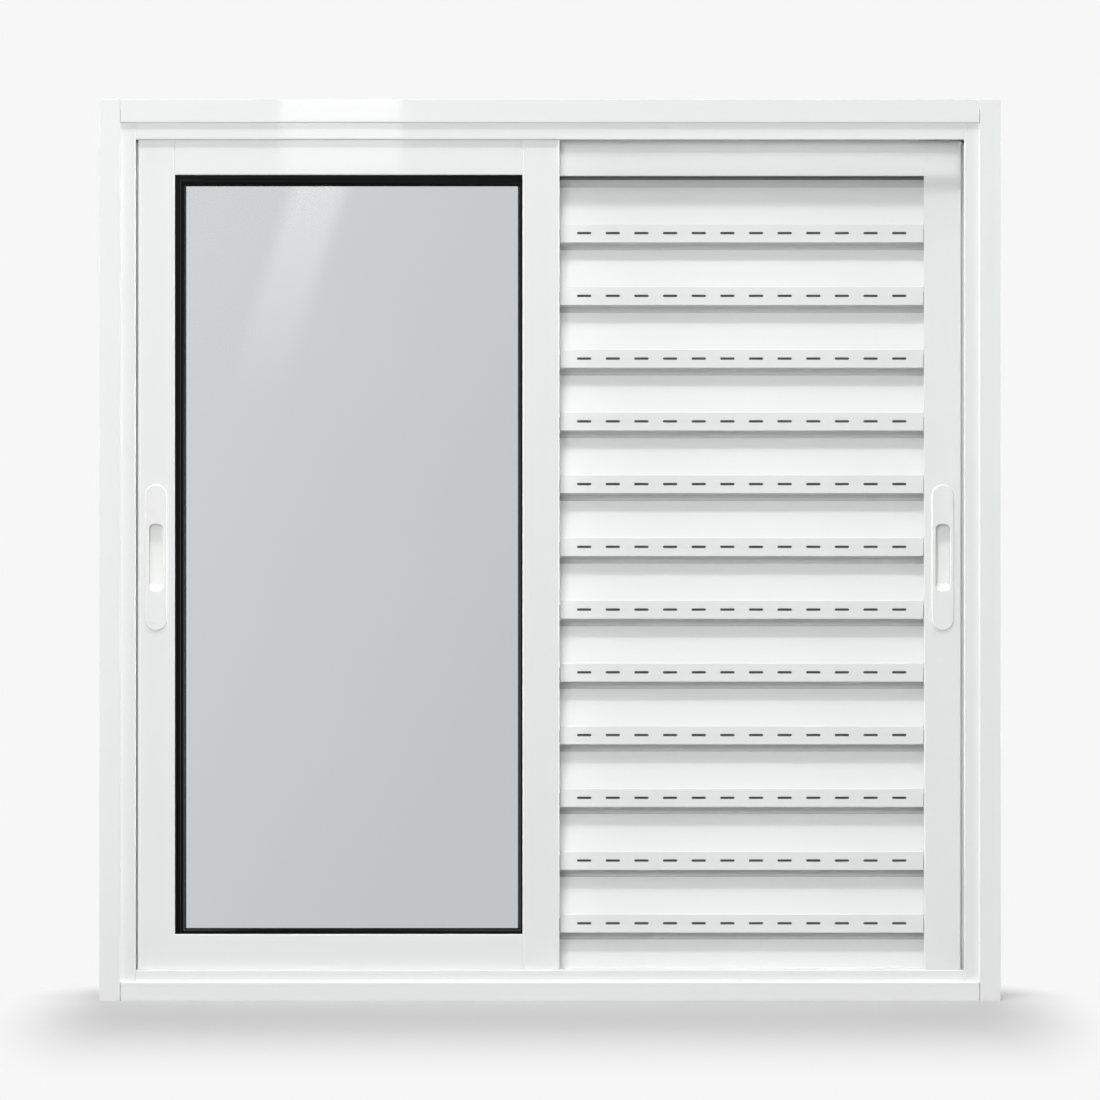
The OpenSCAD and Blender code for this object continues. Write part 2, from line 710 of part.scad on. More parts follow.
// Leaf rails, coped to enter the stile pockets
module rail(w, leg_at, z0, z1) {
    difference() {
        along_x(tube_s, w - tube_s) children();
        for (s = [[tube_s - over, stile_w], [w - stile_w, w - tube_s + over]]) {
            box([s[0], -over, z0 - over], [s[1], sash_wall, z1 + over]);
            box([s[0], leg_at, z0 - over], [s[1], sash_d + over, z1 + over]);
        }
    }
}
module top_rail_section(leg_at, pocket_d) {
    ceiling_z = edge_top_z + pocket_d;
    rect([0, edge_top_z], [sash_wall, sash_top_z]);
    rect([full_u, ceiling_z], [sash_d, sash_top_z]);
    rect([0, notch_z - sash_wall], [sash_d, notch_z]);
    rect([0, ceiling_z], [sash_d, ceiling_z + sash_wall]);
    rect([leg_at, edge_top_z], [leg_at + sash_wall, ceiling_z + sash_wall]);
    port(track_u, top_port_z);
}
module glass_foot_section() {
    floor_z = edge_bottom_z - pocket_w;
    rect([0, sash_foot_z], [sash_wall, edge_bottom_z]);
    rect([full_u, sash_foot_z], [sash_d, floor_z]);
    rect([0, foot_ceiling_z], [sash_d, foot_top_z]);
    rect([0, floor_z - sash_wall], [sash_d, floor_z]);
    rect([glaze_u, floor_z - sash_wall], [glaze_u + sash_wall, edge_bottom_z]);
    port(track_u, foot_port_z);
}
module louvre_foot_section() {
    rect([0, sash_foot_z], [sash_wall, foot_top_z]);
    rect([full_u, sash_foot_z], [sash_d, foot_top_z + 2 * port_r]);
    rect([0, foot_ceiling_z], [sash_d, foot_top_z]);
    port(louvre_port_u, foot_port_z);
}
module glass_top_rail() {
    color(white) in_glass() rail(glass_sash_w, glaze_u, edge_top_z, sash_top_z)
        top_rail_section(glaze_u, pocket_w);
}
module glass_bottom_rail() {
    color(white) in_glass() rail(glass_sash_w, glaze_u, sash_foot_z, edge_bottom_z) glass_foot_section();
}
module louvre_top_rail() {
    color(white) in_louvre() rail(louvre_sash_w, full_u, edge_top_z, sash_top_z)
        top_rail_section(full_u, louvre_pocket);
}
module louvre_bottom_rail() {
    color(white) in_louvre() rail(louvre_sash_w, full_u, sash_foot_z, edge_bottom_z) louvre_foot_section();
}
module sash_screw(u, z) {
    seat_s = tube_s - sash_wall;
    rod_x(seat_s - screw_head_h, seat_s, u, z, screw_head_r);
    rod_x(seat_s - screw_head_h / 2, tube_s + screw_l, u, z, screw_r);
}
module sash_screws(w, foot_screw_u) {
    for (p = [[track_u, top_port_z], [foot_screw_u, foot_port_z]]) {
        sash_screw(p[0], p[1]);
        from_meeting(w) sash_screw(p[0], p[1]);
    }
}
module glass_sash_screws() {
    color(steel) in_glass() sash_screws(glass_sash_w, track_u);
}
module louvre_sash_screws() {
    color(steel) in_louvre() sash_screws(louvre_sash_w, louvre_port_u);
}

// Glass and its gasket
module glass_pane() {
    color(tint) in_glass() box([stile_w - glass_hold, glass_u, edge_bottom_z - glass_hold],
        [glass_sash_w - stile_w + glass_hold, glass_u + glass_t, edge_top_z + glass_hold]);
}
module glazing_gasket() {
    s0 = stile_w;
    s1 = glass_sash_w - stile_w;
    z0 = edge_bottom_z;
    z1 = edge_top_z;
    out = pocket_w - gasket_gap;
    hold = glass_hold + glass_fit;
    u0 = sash_wall + gasket_gap;
    u1 = glaze_u - gasket_gap;
    band_u = sash_wall + gasket_band_d;
    left = gasket_band_left + gasket_ridge_left;
    top = gasket_band_top + gasket_ridge_top;
    color(black) in_glass() difference() {
        box([s0 - out, u0, z0 - out], [s1 + out, u1, z1 + out]);
        box([s0 - hold, glass_u - glass_fit, z0 - hold], [s1 + hold, glass_u + glass_t + glass_fit, z1 + hold]);
        box([s0 + left, u0 - over, z0 + gasket_ridge_bottom], [s1 - gasket_ridge_right, glass_u, z1 - top]);
        box([s0 + gasket_rear_edge, glass_u, z0 + gasket_rear_edge],
            [s1 - gasket_rear_edge, u1 + over, z1 - gasket_rear_edge]);
        box([s0 - over, u0 - over, z0 - over], [s0 + gasket_band_left, band_u, z1 + over]);
        box([s0 - over, u0 - over, z1 - gasket_band_top], [s1 + over, band_u, z1 + over]);
        hull() {
            box([s0 + left - gasket_bevel, u0 - over, z0 + gasket_ridge_bottom - gasket_bevel],
                [s1 - gasket_ridge_right + gasket_bevel, u0, z1 - top + gasket_bevel]);
            box([s0 + left, band_u, z0 + gasket_ridge_bottom], [s1 - gasket_ridge_right, glass_u, z1 - top]);
        }
    }
}

// Slats, drawn about the middle line of their slots
module slat_section() {
    lip_u = lip_set + slat_t;
    tongue_v = slat_pitch + tongue_rise;
    tongue_back_u = tongue_u + slat_t;
    nib_v = ledge_v - slat_t - nib_h;
    return_v = slat_t - lip_h / 2;
    polygon([
        [lip_set, -lip_h / 2], [lip_set, lip_h / 2], [neck_u, neck_v], [neck_u, ledge_v],
        [tongue_u, ledge_v], [tongue_u, tongue_v], [tongue_back_u, tongue_v], [tongue_back_u, nib_v],
        [tongue_u, nib_v], [tongue_u, ledge_v - slat_t], [neck_u + slat_t, ledge_v - slat_t],
        [neck_u + slat_t, neck_v], [lip_u, lip_h / 2], [lip_u, return_v], [leg_u + slat_t, return_v],
        [leg_u + slat_t, leg_v], [leg_u, leg_v], [leg_u, -lip_h / 2]
    ]);
}
module slot_row() {
    round_r = slot_h / 2;
    first_s = louvre_sash_w / 2 - slot_pitch * (slot_count - 1) / 2;
    for (i = [0:slot_count - 1]) {
        s = first_s + slot_pitch * i;
        rect([s - slot_l / 2 + round_r, -round_r], [s + slot_l / 2 - round_r, round_r]);
        disc([s - slot_l / 2 + round_r, 0], round_r);
        disc([s + slot_l / 2 - round_r, 0], round_r);
    }
}
module slat(i) {
    row_z = foot_top_z - starter_drop + slat_pitch * (slat_count - i);
    start_s = tube_s + slat_end_gap;
    end_u = sash_wall + slat_end_gap;
    lip_s = stile_w + slat_end_gap;
    color(white) in_louvre() translate([0, 0, row_z]) difference() {
        along_x(start_s, start_s + slat_len) slat_section();
        along_y(lip_set - over, lip_set + slat_t + over) slot_row();
        for (s = [[tube_s, lip_s], [louvre_sash_w - lip_s, louvre_sash_w - tube_s]]) {
            box([s[0], -over, leg_v - over], [s[1], end_u, slat_pitch]);
        }
        if (i == slat_count) {
            box([0, -sash_d, -slat_pitch], [louvre_sash_w, 2 * sash_d, foot_top_z - row_z]);
        }
    }
}

// Pull plates with their finger recess, and the latches behind them
module stadium(w, h) {
    rect([-w / 2, (w - h) / 2], [w / 2, (h - w) / 2]);
    disc([0, (h - w) / 2], w / 2);
    disc([0, (w - h) / 2], w / 2);
}
module rounded(w, h, r) {
    rect([-w / 2, r - h / 2], [w / 2, h / 2 - r]);
    rect([r - w / 2, -h / 2], [w / 2 - r, h / 2]);
    for (x = [r - w / 2, w / 2 - r], y = [r - h / 2, h / 2 - r]) {
        disc([x, y], r);
    }
}
module cup_outline() {
    rounded(recess_w + 2 * cup_wall, recess_h + 2 * cup_wall, recess_r + cup_wall);
}
module pull_plate() {
    foot_z = -recess_h / 2;
    translate([pull_s, 0, pull_z]) {
        difference() {
            union() {
                along_y(-pull_stand, 0) stadium(pull_w, pull_h);
                along_y(0, cup_d) cup_outline();
            }
            along_y(-pull_stand - over, cup_d + over) rounded(recess_w, recess_h, recess_r);
        }
        intersection() {
            along_y(-pull_stand, cup_d) cup_outline();
            along_x(-recess_w, recess_w) polygon([[-pull_stand, foot_z - cup_wall], [cup_d, foot_z - cup_wall],
                [cup_d, foot_z + ramp_h], [-pull_stand / 2, foot_z]]);
        }
    }
}
module latch_slider() {
    stem_z = hook_z + hook_arm_h / 2;
    box([pull_s - slider_w / 2, slider_u, slider_z0], [pull_s + slider_w / 2, slider_u + slider_t, slider_z1]);
    box([pull_s - stem_w / 2, slider_u, stem_z - hook_arm_h / 2],
        [pull_s + stem_w / 2, hook_u, stem_z + hook_arm_h / 2]);
}
module latch_hook() {
    along_y(hook_u, hook_u + hook_t) {
        rect([-hook_reach, hook_z], [pull_s + stem_w / 2, hook_z + hook_arm_h]);
        rect([-hook_reach, hook_z - hook_nose_h], [hook_nose_w - hook_reach, hook_z + hook_arm_h]);
    }
}
module glass_pull_plate() {
    color(white) in_glass() pull_plate();
}
module louvre_pull_plate() {
    color(white) in_louvre() pull_plate();
}
module glass_latch_slider() {
    color(white) in_glass() latch_slider();
}
module louvre_latch_slider() {
    color(white) in_louvre() latch_slider();
}
module glass_latch_hook() {
    color(steel) in_glass() latch_hook();
}
module louvre_latch_hook() {
    color(steel) in_louvre() latch_hook();
}

// Pile strips
module lock_pile() {
    box([groove_w - pile_h, track_u - pile_w / 2, foot_port_z + access_r + pile_end],
        [groove_w, track_u + pile_w / 2, top_port_z - access_r - pile_end]);
}
module glass_lock_pile() {
    color(grey) in_glass() lock_pile();
}
module louvre_lock_pile() {
    color(grey) in_louvre() lock_pile();
}
module glass_meeting_pile() {
    color(grey) in_glass() from_meeting(glass_sash_w)
        box([pile_s, sash_d - pile_channel_d, foot_ceiling_z],
            [pile_s + pile_w, sash_d + pile_reach, notch_z]);
}

// Top guides that straddle the head fins
module guide() {
    run_u = fin_t / 2 + guide_run;
    difference() {
        box([guide_gap, sash_wall + guide_gap, notch_z],
            [guide_gap + guide_l, full_u - guide_gap, sash_top_z + guide_rise]);
        box([-over, track_u - run_u, head_fin_z - guide_rise],
            [guide_l + guide_gap + over, track_u + run_u, sash_top_z + guide_rise + over]);
    }
}
module glass_top_guides() {
    color(grey) in_glass() {
        guide();
        from_meeting(glass_sash_w) guide();
    }
}
module louvre_top_guides() {
    color(grey) in_louvre() {
        guide();
        from_meeting(louvre_sash_w) guide();
    }
}

// Rollers: a housing in the bottom rail, an axle and a grooved wheel on the sill's rail
module roller() {
    slot_u = wheel_w / 2 + wheel_side_gap;
    well = wheel_r + wheel_flange + wheel_side_gap;
    z0 = sill_floor_z + housing_clear;
    z1 = foot_ceiling_z - housing_gap;
    translate([roller_inset, 0, 0]) difference() {
        box([-housing_l / 2, sash_wall + housing_gap, z0], [housing_l / 2, full_u - housing_gap, z1]);
        box([-housing_l / 2 - over, track_u - slot_u, z0 - over],
            [housing_l / 2 + over, track_u + slot_u, rail_top_z + wheel_flange]);
        box([-well, track_u - slot_u, z0 - over], [well, track_u + slot_u, z1 + over]);
        rod_y(0, 0, sash_d, wheel_z, axle_r + axle_press);
    }
}
module axle() {
    rod_y(roller_inset, sash_wall + housing_gap, full_u - housing_gap, wheel_z, axle_r);
}
module wheel() {
    rim = wheel_r + wheel_flange;
    bore = axle_r + axle_fit;
    translate([roller_inset, track_u, wheel_z]) rotate([90, 0, 0]) rotate_extrude($fn = round_fn)
        polygon([[bore, -wheel_w / 2], [rim, -wheel_w / 2], [rim, -groove_rim], [wheel_r, -groove_root],
            [wheel_r, groove_root], [rim, groove_rim], [rim, wheel_w / 2], [bore, wheel_w / 2]]);
}
module glass_lock_roller() {
    color(grey) in_glass() roller();
}
module glass_meeting_roller() {
    color(grey) in_glass() from_meeting(glass_sash_w) roller();
}
module louvre_lock_roller() {
    color(grey) in_louvre() roller();
}
module louvre_meeting_roller() {
    color(grey) in_louvre() from_meeting(louvre_sash_w) roller();
}
module glass_axles() {
    color(steel) in_glass() {
        axle();
        from_meeting(glass_sash_w) axle();
    }
}
module louvre_axles() {
    color(steel) in_louvre() {
        axle();
        from_meeting(louvre_sash_w) axle();
    }
}
module glass_lock_wheel() {
    color(black) in_glass() wheel();
}
module glass_meeting_wheel() {
    color(black) in_glass() from_meeting(glass_sash_w) wheel();
}
module louvre_lock_wheel() {
    color(black) in_louvre() wheel();
}
module louvre_meeting_wheel() {
    color(black) in_louvre() from_meeting(louvre_sash_w) wheel();
}

head();
sill();
left_jamb();
right_jamb();
top_trim();
bottom_trim();
left_trim();
right_trim();
left_keeper();
right_keeper();
frame_screws();
keeper_screws();
closing_stops();
opening_stops();
glass_lock_stile();
glass_meeting_stile();
glass_top_rail();
glass_bottom_rail();
glass_pane();
glazing_gasket();
glass_pull_plate();
glass_latch_slider();
glass_latch_hook();
glass_sash_screws();
glass_lock_pile();
glass_meeting_pile();
glass_top_guides();
glass_lock_roller();
glass_meeting_roller();
glass_axles();
glass_lock_wheel();
glass_meeting_wheel();
louvre_lock_stile();
louvre_meeting_stile();
louvre_top_rail();
louvre_bottom_rail();
louvre_pull_plate();
louvre_latch_slider();
louvre_latch_hook();
louvre_sash_screws();
louvre_lock_pile();
louvre_top_guides();
louvre_lock_roller();
louvre_meeting_roller();
louvre_axles();
louvre_lock_wheel();
louvre_meeting_wheel();
for (i = [1:slat_count]) {
    slat(i);
}
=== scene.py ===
"""A white sliding window with a glazed leaf and a slotted louvre leaf, dressed for the studio.

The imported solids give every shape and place. This script rounds the edges that catch the light,
models the pile strips and the screws, and gives each piece the finish of its real material."""
import json
import math

import bpy
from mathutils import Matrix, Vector


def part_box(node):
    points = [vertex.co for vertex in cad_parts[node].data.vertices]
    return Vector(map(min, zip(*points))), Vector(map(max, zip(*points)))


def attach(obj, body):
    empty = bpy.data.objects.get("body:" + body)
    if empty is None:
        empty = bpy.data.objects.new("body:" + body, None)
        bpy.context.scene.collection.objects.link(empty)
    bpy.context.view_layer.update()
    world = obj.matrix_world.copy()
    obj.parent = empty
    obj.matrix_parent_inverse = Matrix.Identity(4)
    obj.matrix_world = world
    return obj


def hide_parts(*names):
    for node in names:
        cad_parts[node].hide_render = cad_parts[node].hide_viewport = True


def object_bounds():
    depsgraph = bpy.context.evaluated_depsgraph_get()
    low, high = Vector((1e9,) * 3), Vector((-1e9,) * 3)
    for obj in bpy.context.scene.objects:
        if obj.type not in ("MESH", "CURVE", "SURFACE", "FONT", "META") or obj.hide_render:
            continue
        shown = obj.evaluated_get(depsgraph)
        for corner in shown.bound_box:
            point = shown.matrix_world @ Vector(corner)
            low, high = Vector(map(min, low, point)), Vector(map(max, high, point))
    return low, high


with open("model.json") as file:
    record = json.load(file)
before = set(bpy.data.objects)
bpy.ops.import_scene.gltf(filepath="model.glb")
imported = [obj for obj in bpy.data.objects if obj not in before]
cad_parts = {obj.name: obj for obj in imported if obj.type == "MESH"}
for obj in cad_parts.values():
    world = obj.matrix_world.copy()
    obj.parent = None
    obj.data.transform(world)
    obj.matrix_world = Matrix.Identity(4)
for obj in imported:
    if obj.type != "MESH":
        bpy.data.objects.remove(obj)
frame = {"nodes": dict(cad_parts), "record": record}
cad_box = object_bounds()

MM = 0.001
TOUCH = 0.01 * MM
X, Y, Z = 0, 1, 2

record = frame["record"]
BODY_OF = {node: body for body, nodes in record["behaviour"]["bodies"].items() for node in nodes}
SLOT_OF = {part["node"]: part["material_slot"] for part in record["subparts"]}

LEAVES = ("glass", "louvre")
TRIMS = {"top_trim": X, "bottom_trim": X, "left_trim": Z, "right_trim": Z}
FRAME_BARS = {"head": X, "sill": X, "left_jamb": Z, "right_jamb": Z}
RAILS = {leaf + bar: X for leaf in LEAVES for bar in ("_top_rail", "_bottom_rail")}
STILES = {leaf + bar: Z for leaf in LEAVES for bar in ("_lock_stile", "_meeting_stile")}
BARS = {**TRIMS, **FRAME_BARS, **RAILS, **STILES}  # each bar with the axis that it runs along
SLATS = sorted(node for node in frame["nodes"] if node.startswith("slat_"))
SCREWS = sorted(node for node in frame["nodes"] if node.endswith("_screws"))
MOULDINGS = sorted(node for node, slot in SLOT_OF.items() if slot in ("grey_nylon", "wheel_nylon"))
STEEL_PIECES = sorted(node for node, slot in SLOT_OF.items()
                      if slot == "zinc_steel" and node not in SCREWS)
LATCH_SLIDERS = [leaf + "_latch_slider" for leaf in LEAVES]

# all slats but the ripped one are alike, so two of them give the lips' pitch and place
FOLD_DEPTH = 17 * MM  # from the front of a slat's lip back to its fold
lip_front = min(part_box(node)[0].y for node in SLATS)
fold_y = lip_front + FOLD_DEPTH
lip_pitch = abs(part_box("slat_6")[0].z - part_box("slat_5")[0].z)
lip_heights = [point.co.z for point in frame["nodes"]["slat_6"].data.vertices
               if point.co.y < lip_front + TOUCH]
lip_middle = (min(lip_heights) + max(lip_heights)) / 2
lip_half = (max(lip_heights) - min(lip_heights)) / 2


# Finishes

def linear(hex_colour):
    """Linear colour of an sRGB hex value."""
    channels = [int(hex_colour[i:i + 2], 16) / 255 for i in (1, 3, 5)]
    return (*[c / 12.92 if c <= 0.04045 else ((c + 0.055) / 1.055) ** 2.4 for c in channels], 1)


def add(tree, kind, inputs=None, **settings):
    """Adds a node: settings go on the node, an input that is a socket is linked, a value is set."""
    node = tree.nodes.new(kind)
    for name, value in settings.items():
        setattr(node, name, value)
    for name, value in (inputs or {}).items():
        if isinstance(value, bpy.types.NodeSocket):
            tree.links.new(value, node.inputs[name])
        else:
            node.inputs[name].default_value = value
    return node


def per_mm(size):
    """Noise scale, on coordinates in metres, whose grains are about this many millimetres wide."""
    return 1 / (size * MM)


def new_material(name):
    """An empty material: itself, its node tree and the Object coordinates."""
    material = bpy.data.materials.new(name)
    material.use_nodes = True
    tree = material.node_tree
    tree.nodes.clear()
    return material, tree, add(tree, "ShaderNodeTexCoord").outputs["Object"]


def show(tree, surface):
    """Puts a shader on the surface."""
    add(tree, "ShaderNodeOutputMaterial", {"Surface": surface.outputs[0]})


UNSHADED_TURN, SHADED_TURN = -0.5, -0.8  # Y of the normal: only faces turned to the front take the painted shade
FOLD_BLEND, LIP_BLEND = 0.5 * MM, 1.0 * MM  # lengths over which the painted shade fades in
# the share of the painted shade deep in a fold, away from the lips
FOLD_SHADE_SHARE = 0.5


def painted_shade_in_folds(tree, place):
    """How much painted shade darkens a slat: none on its open faces, half on the faces deep in its fold
    below a lip, and all of it on the faces behind a lip, which show dark through the slots."""
    facing = add(tree, "ShaderNodeTexCoord").outputs["Normal"]
    turned = add(tree, "ShaderNodeSeparateXYZ", {"Vector": facing}).outputs["Y"]
    at = add(tree, "ShaderNodeSeparateXYZ", {"Vector": place}).outputs
    rise = add(tree, "ShaderNodeMath", {0: at["Z"], 1: lip_middle}, operation="SUBTRACT").outputs[0]
    off_lip = add(tree, "ShaderNodeMath", {0: rise, 1: lip_pitch / 2}, operation="PINGPONG").outputs[0]
    share = None
    for value, unshaded_at, shaded_at, least in ((turned, UNSHADED_TURN, SHADED_TURN, 0.0),
                                       (at["Y"], fold_y - FOLD_BLEND, fold_y, 0.0),
                                       (off_lip, lip_half, lip_half - LIP_BLEND, FOLD_SHADE_SHARE)):
        part = add(tree, "ShaderNodeMapRange", {"Value": value, "From Min": unshaded_at, "From Max": shaded_at,
                                                "To Min": least}).outputs["Result"]
        share = part if share is None else add(tree, "ShaderNodeMath", {0: share, 1: part},
                                               operation="MULTIPLY").outputs[0]
    return share


def powder_coat(name, die_lines, fold_shade=False):
    """Polyester powder coat, sprayed on extruded aluminium and baked: an even white skin under a
    clear gloss, with a faint orange peel that the die lines below it draw out along the bar. On a
    slat, a dull grey is painted into its fold as painted shade, darkest behind the lip where the slots show
    it."""
    material, tree, place = new_material(name)
    along = add(tree, "ShaderNodeMapping", {"Vector": place, "Scale": die_lines}).outputs["Vector"]
    tone = add(tree, "ShaderNodeTexNoise", {"Vector": along, "Scale": per_mm(90), "Detail": 2.0})
    colour = add(tree, "ShaderNodeMix", {"Factor": tone.outputs["Fac"], "A": linear("#ECEDED"),
                                         "B": linear("#F0F1F1")}, data_type="RGBA")
    # painted shade: a dull grey in the slat's fold and behind its lip, so the slots and the recess below
    # each lip show dark
    if fold_shade:
        colour = add(tree, "ShaderNodeMix", {"Factor": painted_shade_in_folds(tree, place), "B": linear("#6A6B6C"),
                                             "A": colour.outputs["Result"]}, data_type="RGBA")
    dull = add(tree, "ShaderNodeTexNoise", {"Vector": along, "Scale": per_mm(20), "Detail": 3.0})
    rough = add(tree, "ShaderNodeMapRange", {"Value": dull.outputs["Fac"], "To Min": 0.3, "To Max": 0.45})
    # the real peel is about 1 mm wide, drawn coarser so that it shows in a full view
    peel = add(tree, "ShaderNodeTexNoise", {"Vector": along, "Scale": per_mm(5), "Detail": 1.0})
    bump = add(tree, "ShaderNodeBump", {"Height": peel.outputs["Fac"], "Distance": 0.018 * MM})
    show(tree, add(tree, "ShaderNodeBsdfPrincipled", {
        "Base Color": colour.outputs["Result"], "Roughness": rough.outputs["Result"],
        "Normal": bump.outputs["Normal"], "Specular IOR Level": 0.05, "Coat Weight": 0.3,
        "Coat Roughness": 0.01, "Coat IOR": 1.5, "Coat Normal": bump.outputs["Normal"]}))
    return material


def moulded(name, light, shade, roughness):
    """Injection-moulded plastic: an even colour with flow marks, a fine spark-eroded grain and a
    soft gloss."""
    material, tree, place = new_material(name)
    flow = add(tree, "ShaderNodeTexNoise", {"Vector": place, "Scale": per_mm(18), "Detail": 2.0})
    colour = add(tree, "ShaderNodeMix", {"Factor": flow.outputs["Fac"], "A": linear(shade),
                                         "B": linear(light)}, data_type="RGBA")
    grain = add(tree, "ShaderNodeTexNoise", {"Vector": place, "Scale": per_mm(1.2), "Detail": 2.0})
    rough = add(tree, "ShaderNodeMapRange", {"Value": grain.outputs["Fac"],
                                             "To Min": roughness[0], "To Max": roughness[1]})
    bump = add(tree, "ShaderNodeBump", {"Height": grain.outputs["Fac"], "Strength": 0.2,
                                        "Distance": 0.04 * MM})
    show(tree, add(tree, "ShaderNodeBsdfPrincipled", {
        "Base Color": colour.outputs["Result"], "Roughness": rough.outputs["Result"],
        "Normal": bump.outputs["Normal"], "Specular IOR Level": 0.2}))
    return material


def float_glass():
    """Grey-tinted float glass: drawn flat on molten tin, so it is clear, even and very smooth,
    takes some of the light on its way through and mirrors the soft box as a pale streak."""
    material, tree, place = new_material("grey_float_glass")
    drift = add(tree, "ShaderNodeTexNoise", {"Vector": place, "Scale": per_mm(220), "Detail": 1.0})
    tint = add(tree, "ShaderNodeMix", {"Factor": drift.outputs["Fac"], "A": linear("#C4C8CA"),
                                       "B": linear("#C8CACD")}, data_type="RGBA")
    show(tree, add(tree, "ShaderNodeBsdfPrincipled", {
        "Base Color": tint.outputs["Result"], "Roughness": 0.0, "IOR": 1.5, "Transmission Weight": 1.0}))
    return material


def glazing_rubber():
    """EPDM glazing rubber, extruded: near black, with a dull satin sheen and fine pores."""
    material, tree, place = new_material("epdm_rubber")
    bloom = add(tree, "ShaderNodeTexNoise", {"Vector": place, "Scale": per_mm(9), "Detail": 4.0})
    colour = add(tree, "ShaderNodeMix", {"Factor": bloom.outputs["Fac"], "A": linear("#040505"),
                                         "B": linear("#0A0B0C")}, data_type="RGBA")
    rough = add(tree, "ShaderNodeMapRange", {"Value": bloom.outputs["Fac"], "To Min": 0.15, "To Max": 0.3})
    pores = add(tree, "ShaderNodeTexNoise", {"Vector": place, "Scale": per_mm(0.9), "Detail": 1.0})
    bump = add(tree, "ShaderNodeBump", {"Height": pores.outputs["Fac"], "Strength": 0.1,
                                        "Distance": 0.05 * MM})
    show(tree, add(tree, "ShaderNodeBsdfPrincipled", {
        "Base Color": colour.outputs["Result"], "Roughness": rough.outputs["Result"],
        "Normal": bump.outputs["Normal"], "Specular IOR Level": 0.035}))
    return material


def zinc_plate():
    """Zinc-plated steel, tumbled and passivated: a bluish grey metal with cloudy dull patches."""
    material, tree, place = new_material("zinc_plated_steel")
    cloud = add(tree, "ShaderNodeTexNoise", {"Vector": place, "Scale": per_mm(3), "Detail": 4.0})
    colour = add(tree, "ShaderNodeMix", {"Factor": cloud.outputs["Fac"], "A": linear("#A9ADB2"),
                                         "B": linear("#D2D4D6")}, data_type="RGBA")
    rough = add(tree, "ShaderNodeMapRange", {"Value": cloud.outputs["Fac"], "To Min": 0.25, "To Max": 0.45})
    show(tree, add(tree, "ShaderNodeBsdfPrincipled", {
        "Base Color": colour.outputs["Result"], "Roughness": rough.outputs["Result"], "Metallic": 1.0}))
    return material


def pile_fibre():
    """Woven polypropylene pile: grey fibres, matt, lighter here and there where they splay."""
    material, tree, place = new_material("polypropylene_pile")
    fibre = add(tree, "ShaderNodeTexNoise", {"Vector": place, "Scale": per_mm(0.8), "Detail": 3.0})
    colour = add(tree, "ShaderNodeMix", {"Factor": fibre.outputs["Fac"], "A": linear("#6E7072"),
                                         "B": linear("#A9ABAC")}, data_type="RGBA")
    bump = add(tree, "ShaderNodeBump", {"Height": fibre.outputs["Fac"], "Strength": 0.6,
                                        "Distance": 0.3 * MM})
    show(tree, add(tree, "ShaderNodeBsdfPrincipled", {
        "Base Color": colour.outputs["Result"], "Roughness": 0.9, "Normal": bump.outputs["Normal"],
        "Sheen Weight": 0.4}))
    return material


DIE_LINE_STRETCH = 0.25
COAT_ALONG = {X: powder_coat("powder_coat_on_level_bars", (DIE_LINE_STRETCH, 1, 1)),
              Z: powder_coat("powder_coat_on_upright_bars", (1, 1, DIE_LINE_STRETCH))}
FINISH = {
    # the slats' coat carries painted shade in the folds and behind the lips
    "slat_coat": powder_coat("powder_coat_on_slats", (DIE_LINE_STRETCH, 1, 1), fold_shade=True),
    "white_plastic": moulded("moulded_abs_white", "#F0F1F0", "#ECEDEC", (0.2, 0.3)),
    "glass": float_glass(),
    "gasket": glazing_rubber(),
    "zinc_steel": zinc_plate(),
    "grey_nylon": moulded("moulded_nylon_grey", "#7D8083", "#6C6F72", (0.42, 0.56)),
    "wheel_nylon": moulded("moulded_nylon_black", "#26282A", "#1B1C1E", (0.38, 0.52)),
    "pile": pile_fibre(),
}


def finish_of(node):
    """The material of a node: a bar's coat follows the way the bar runs."""
    return COAT_ALONG[BARS[node]] if node in BARS else FINISH[SLOT_OF[node]]


for node, solid in frame["nodes"].items():
    solid.data.materials.clear()
    solid.data.materials.append(finish_of(node))


# Rounded pieces

MERGE_DISTANCE = 0.001 * MM
FLAT_ANGLE, SHARP_ANGLE, SMOOTH_ANGLE = math.radians(0.5), math.radians(20), math.radians(38)
ALONG_SHARE = 0.99  # an edge runs along a bar if this share of its length does


def make_active(piece):
    """Selects one piece alone."""
    bpy.ops.object.select_all(action="DESELECT")
    bpy.context.view_layer.objects.active = piece
    piece.select_set(True)


def merged_copy(node):
    """A copy of a solid, its loose triangles merged into whole faces."""
    piece = bpy.data.objects.new(node + "_rounded", frame["nodes"][node].data.copy())
    bpy.context.scene.collection.objects.link(piece)
    make_active(piece)
    bpy.ops.object.mode_set(mode="EDIT")
    bpy.ops.mesh.select_mode(type="EDGE")
    bpy.ops.mesh.select_all(action="SELECT")
    bpy.ops.mesh.remove_doubles(threshold=MERGE_DISTANCE)
    bpy.ops.mesh.dissolve_limited(angle_limit=FLAT_ANGLE)
    bpy.ops.object.mode_set(mode="OBJECT")
    return piece


def deselect_mesh(piece):
    """Deselects all points, edges and faces of a piece."""
    for group in (piece.data.vertices, piece.data.edges, piece.data.polygons):
        group.foreach_set("select", [False] * len(group))


def press(piece, share):
    """Scales the active piece along its depth."""
    piece.scale.y = share
    bpy.ops.object.transform_apply(location=False, rotation=False, scale=True)


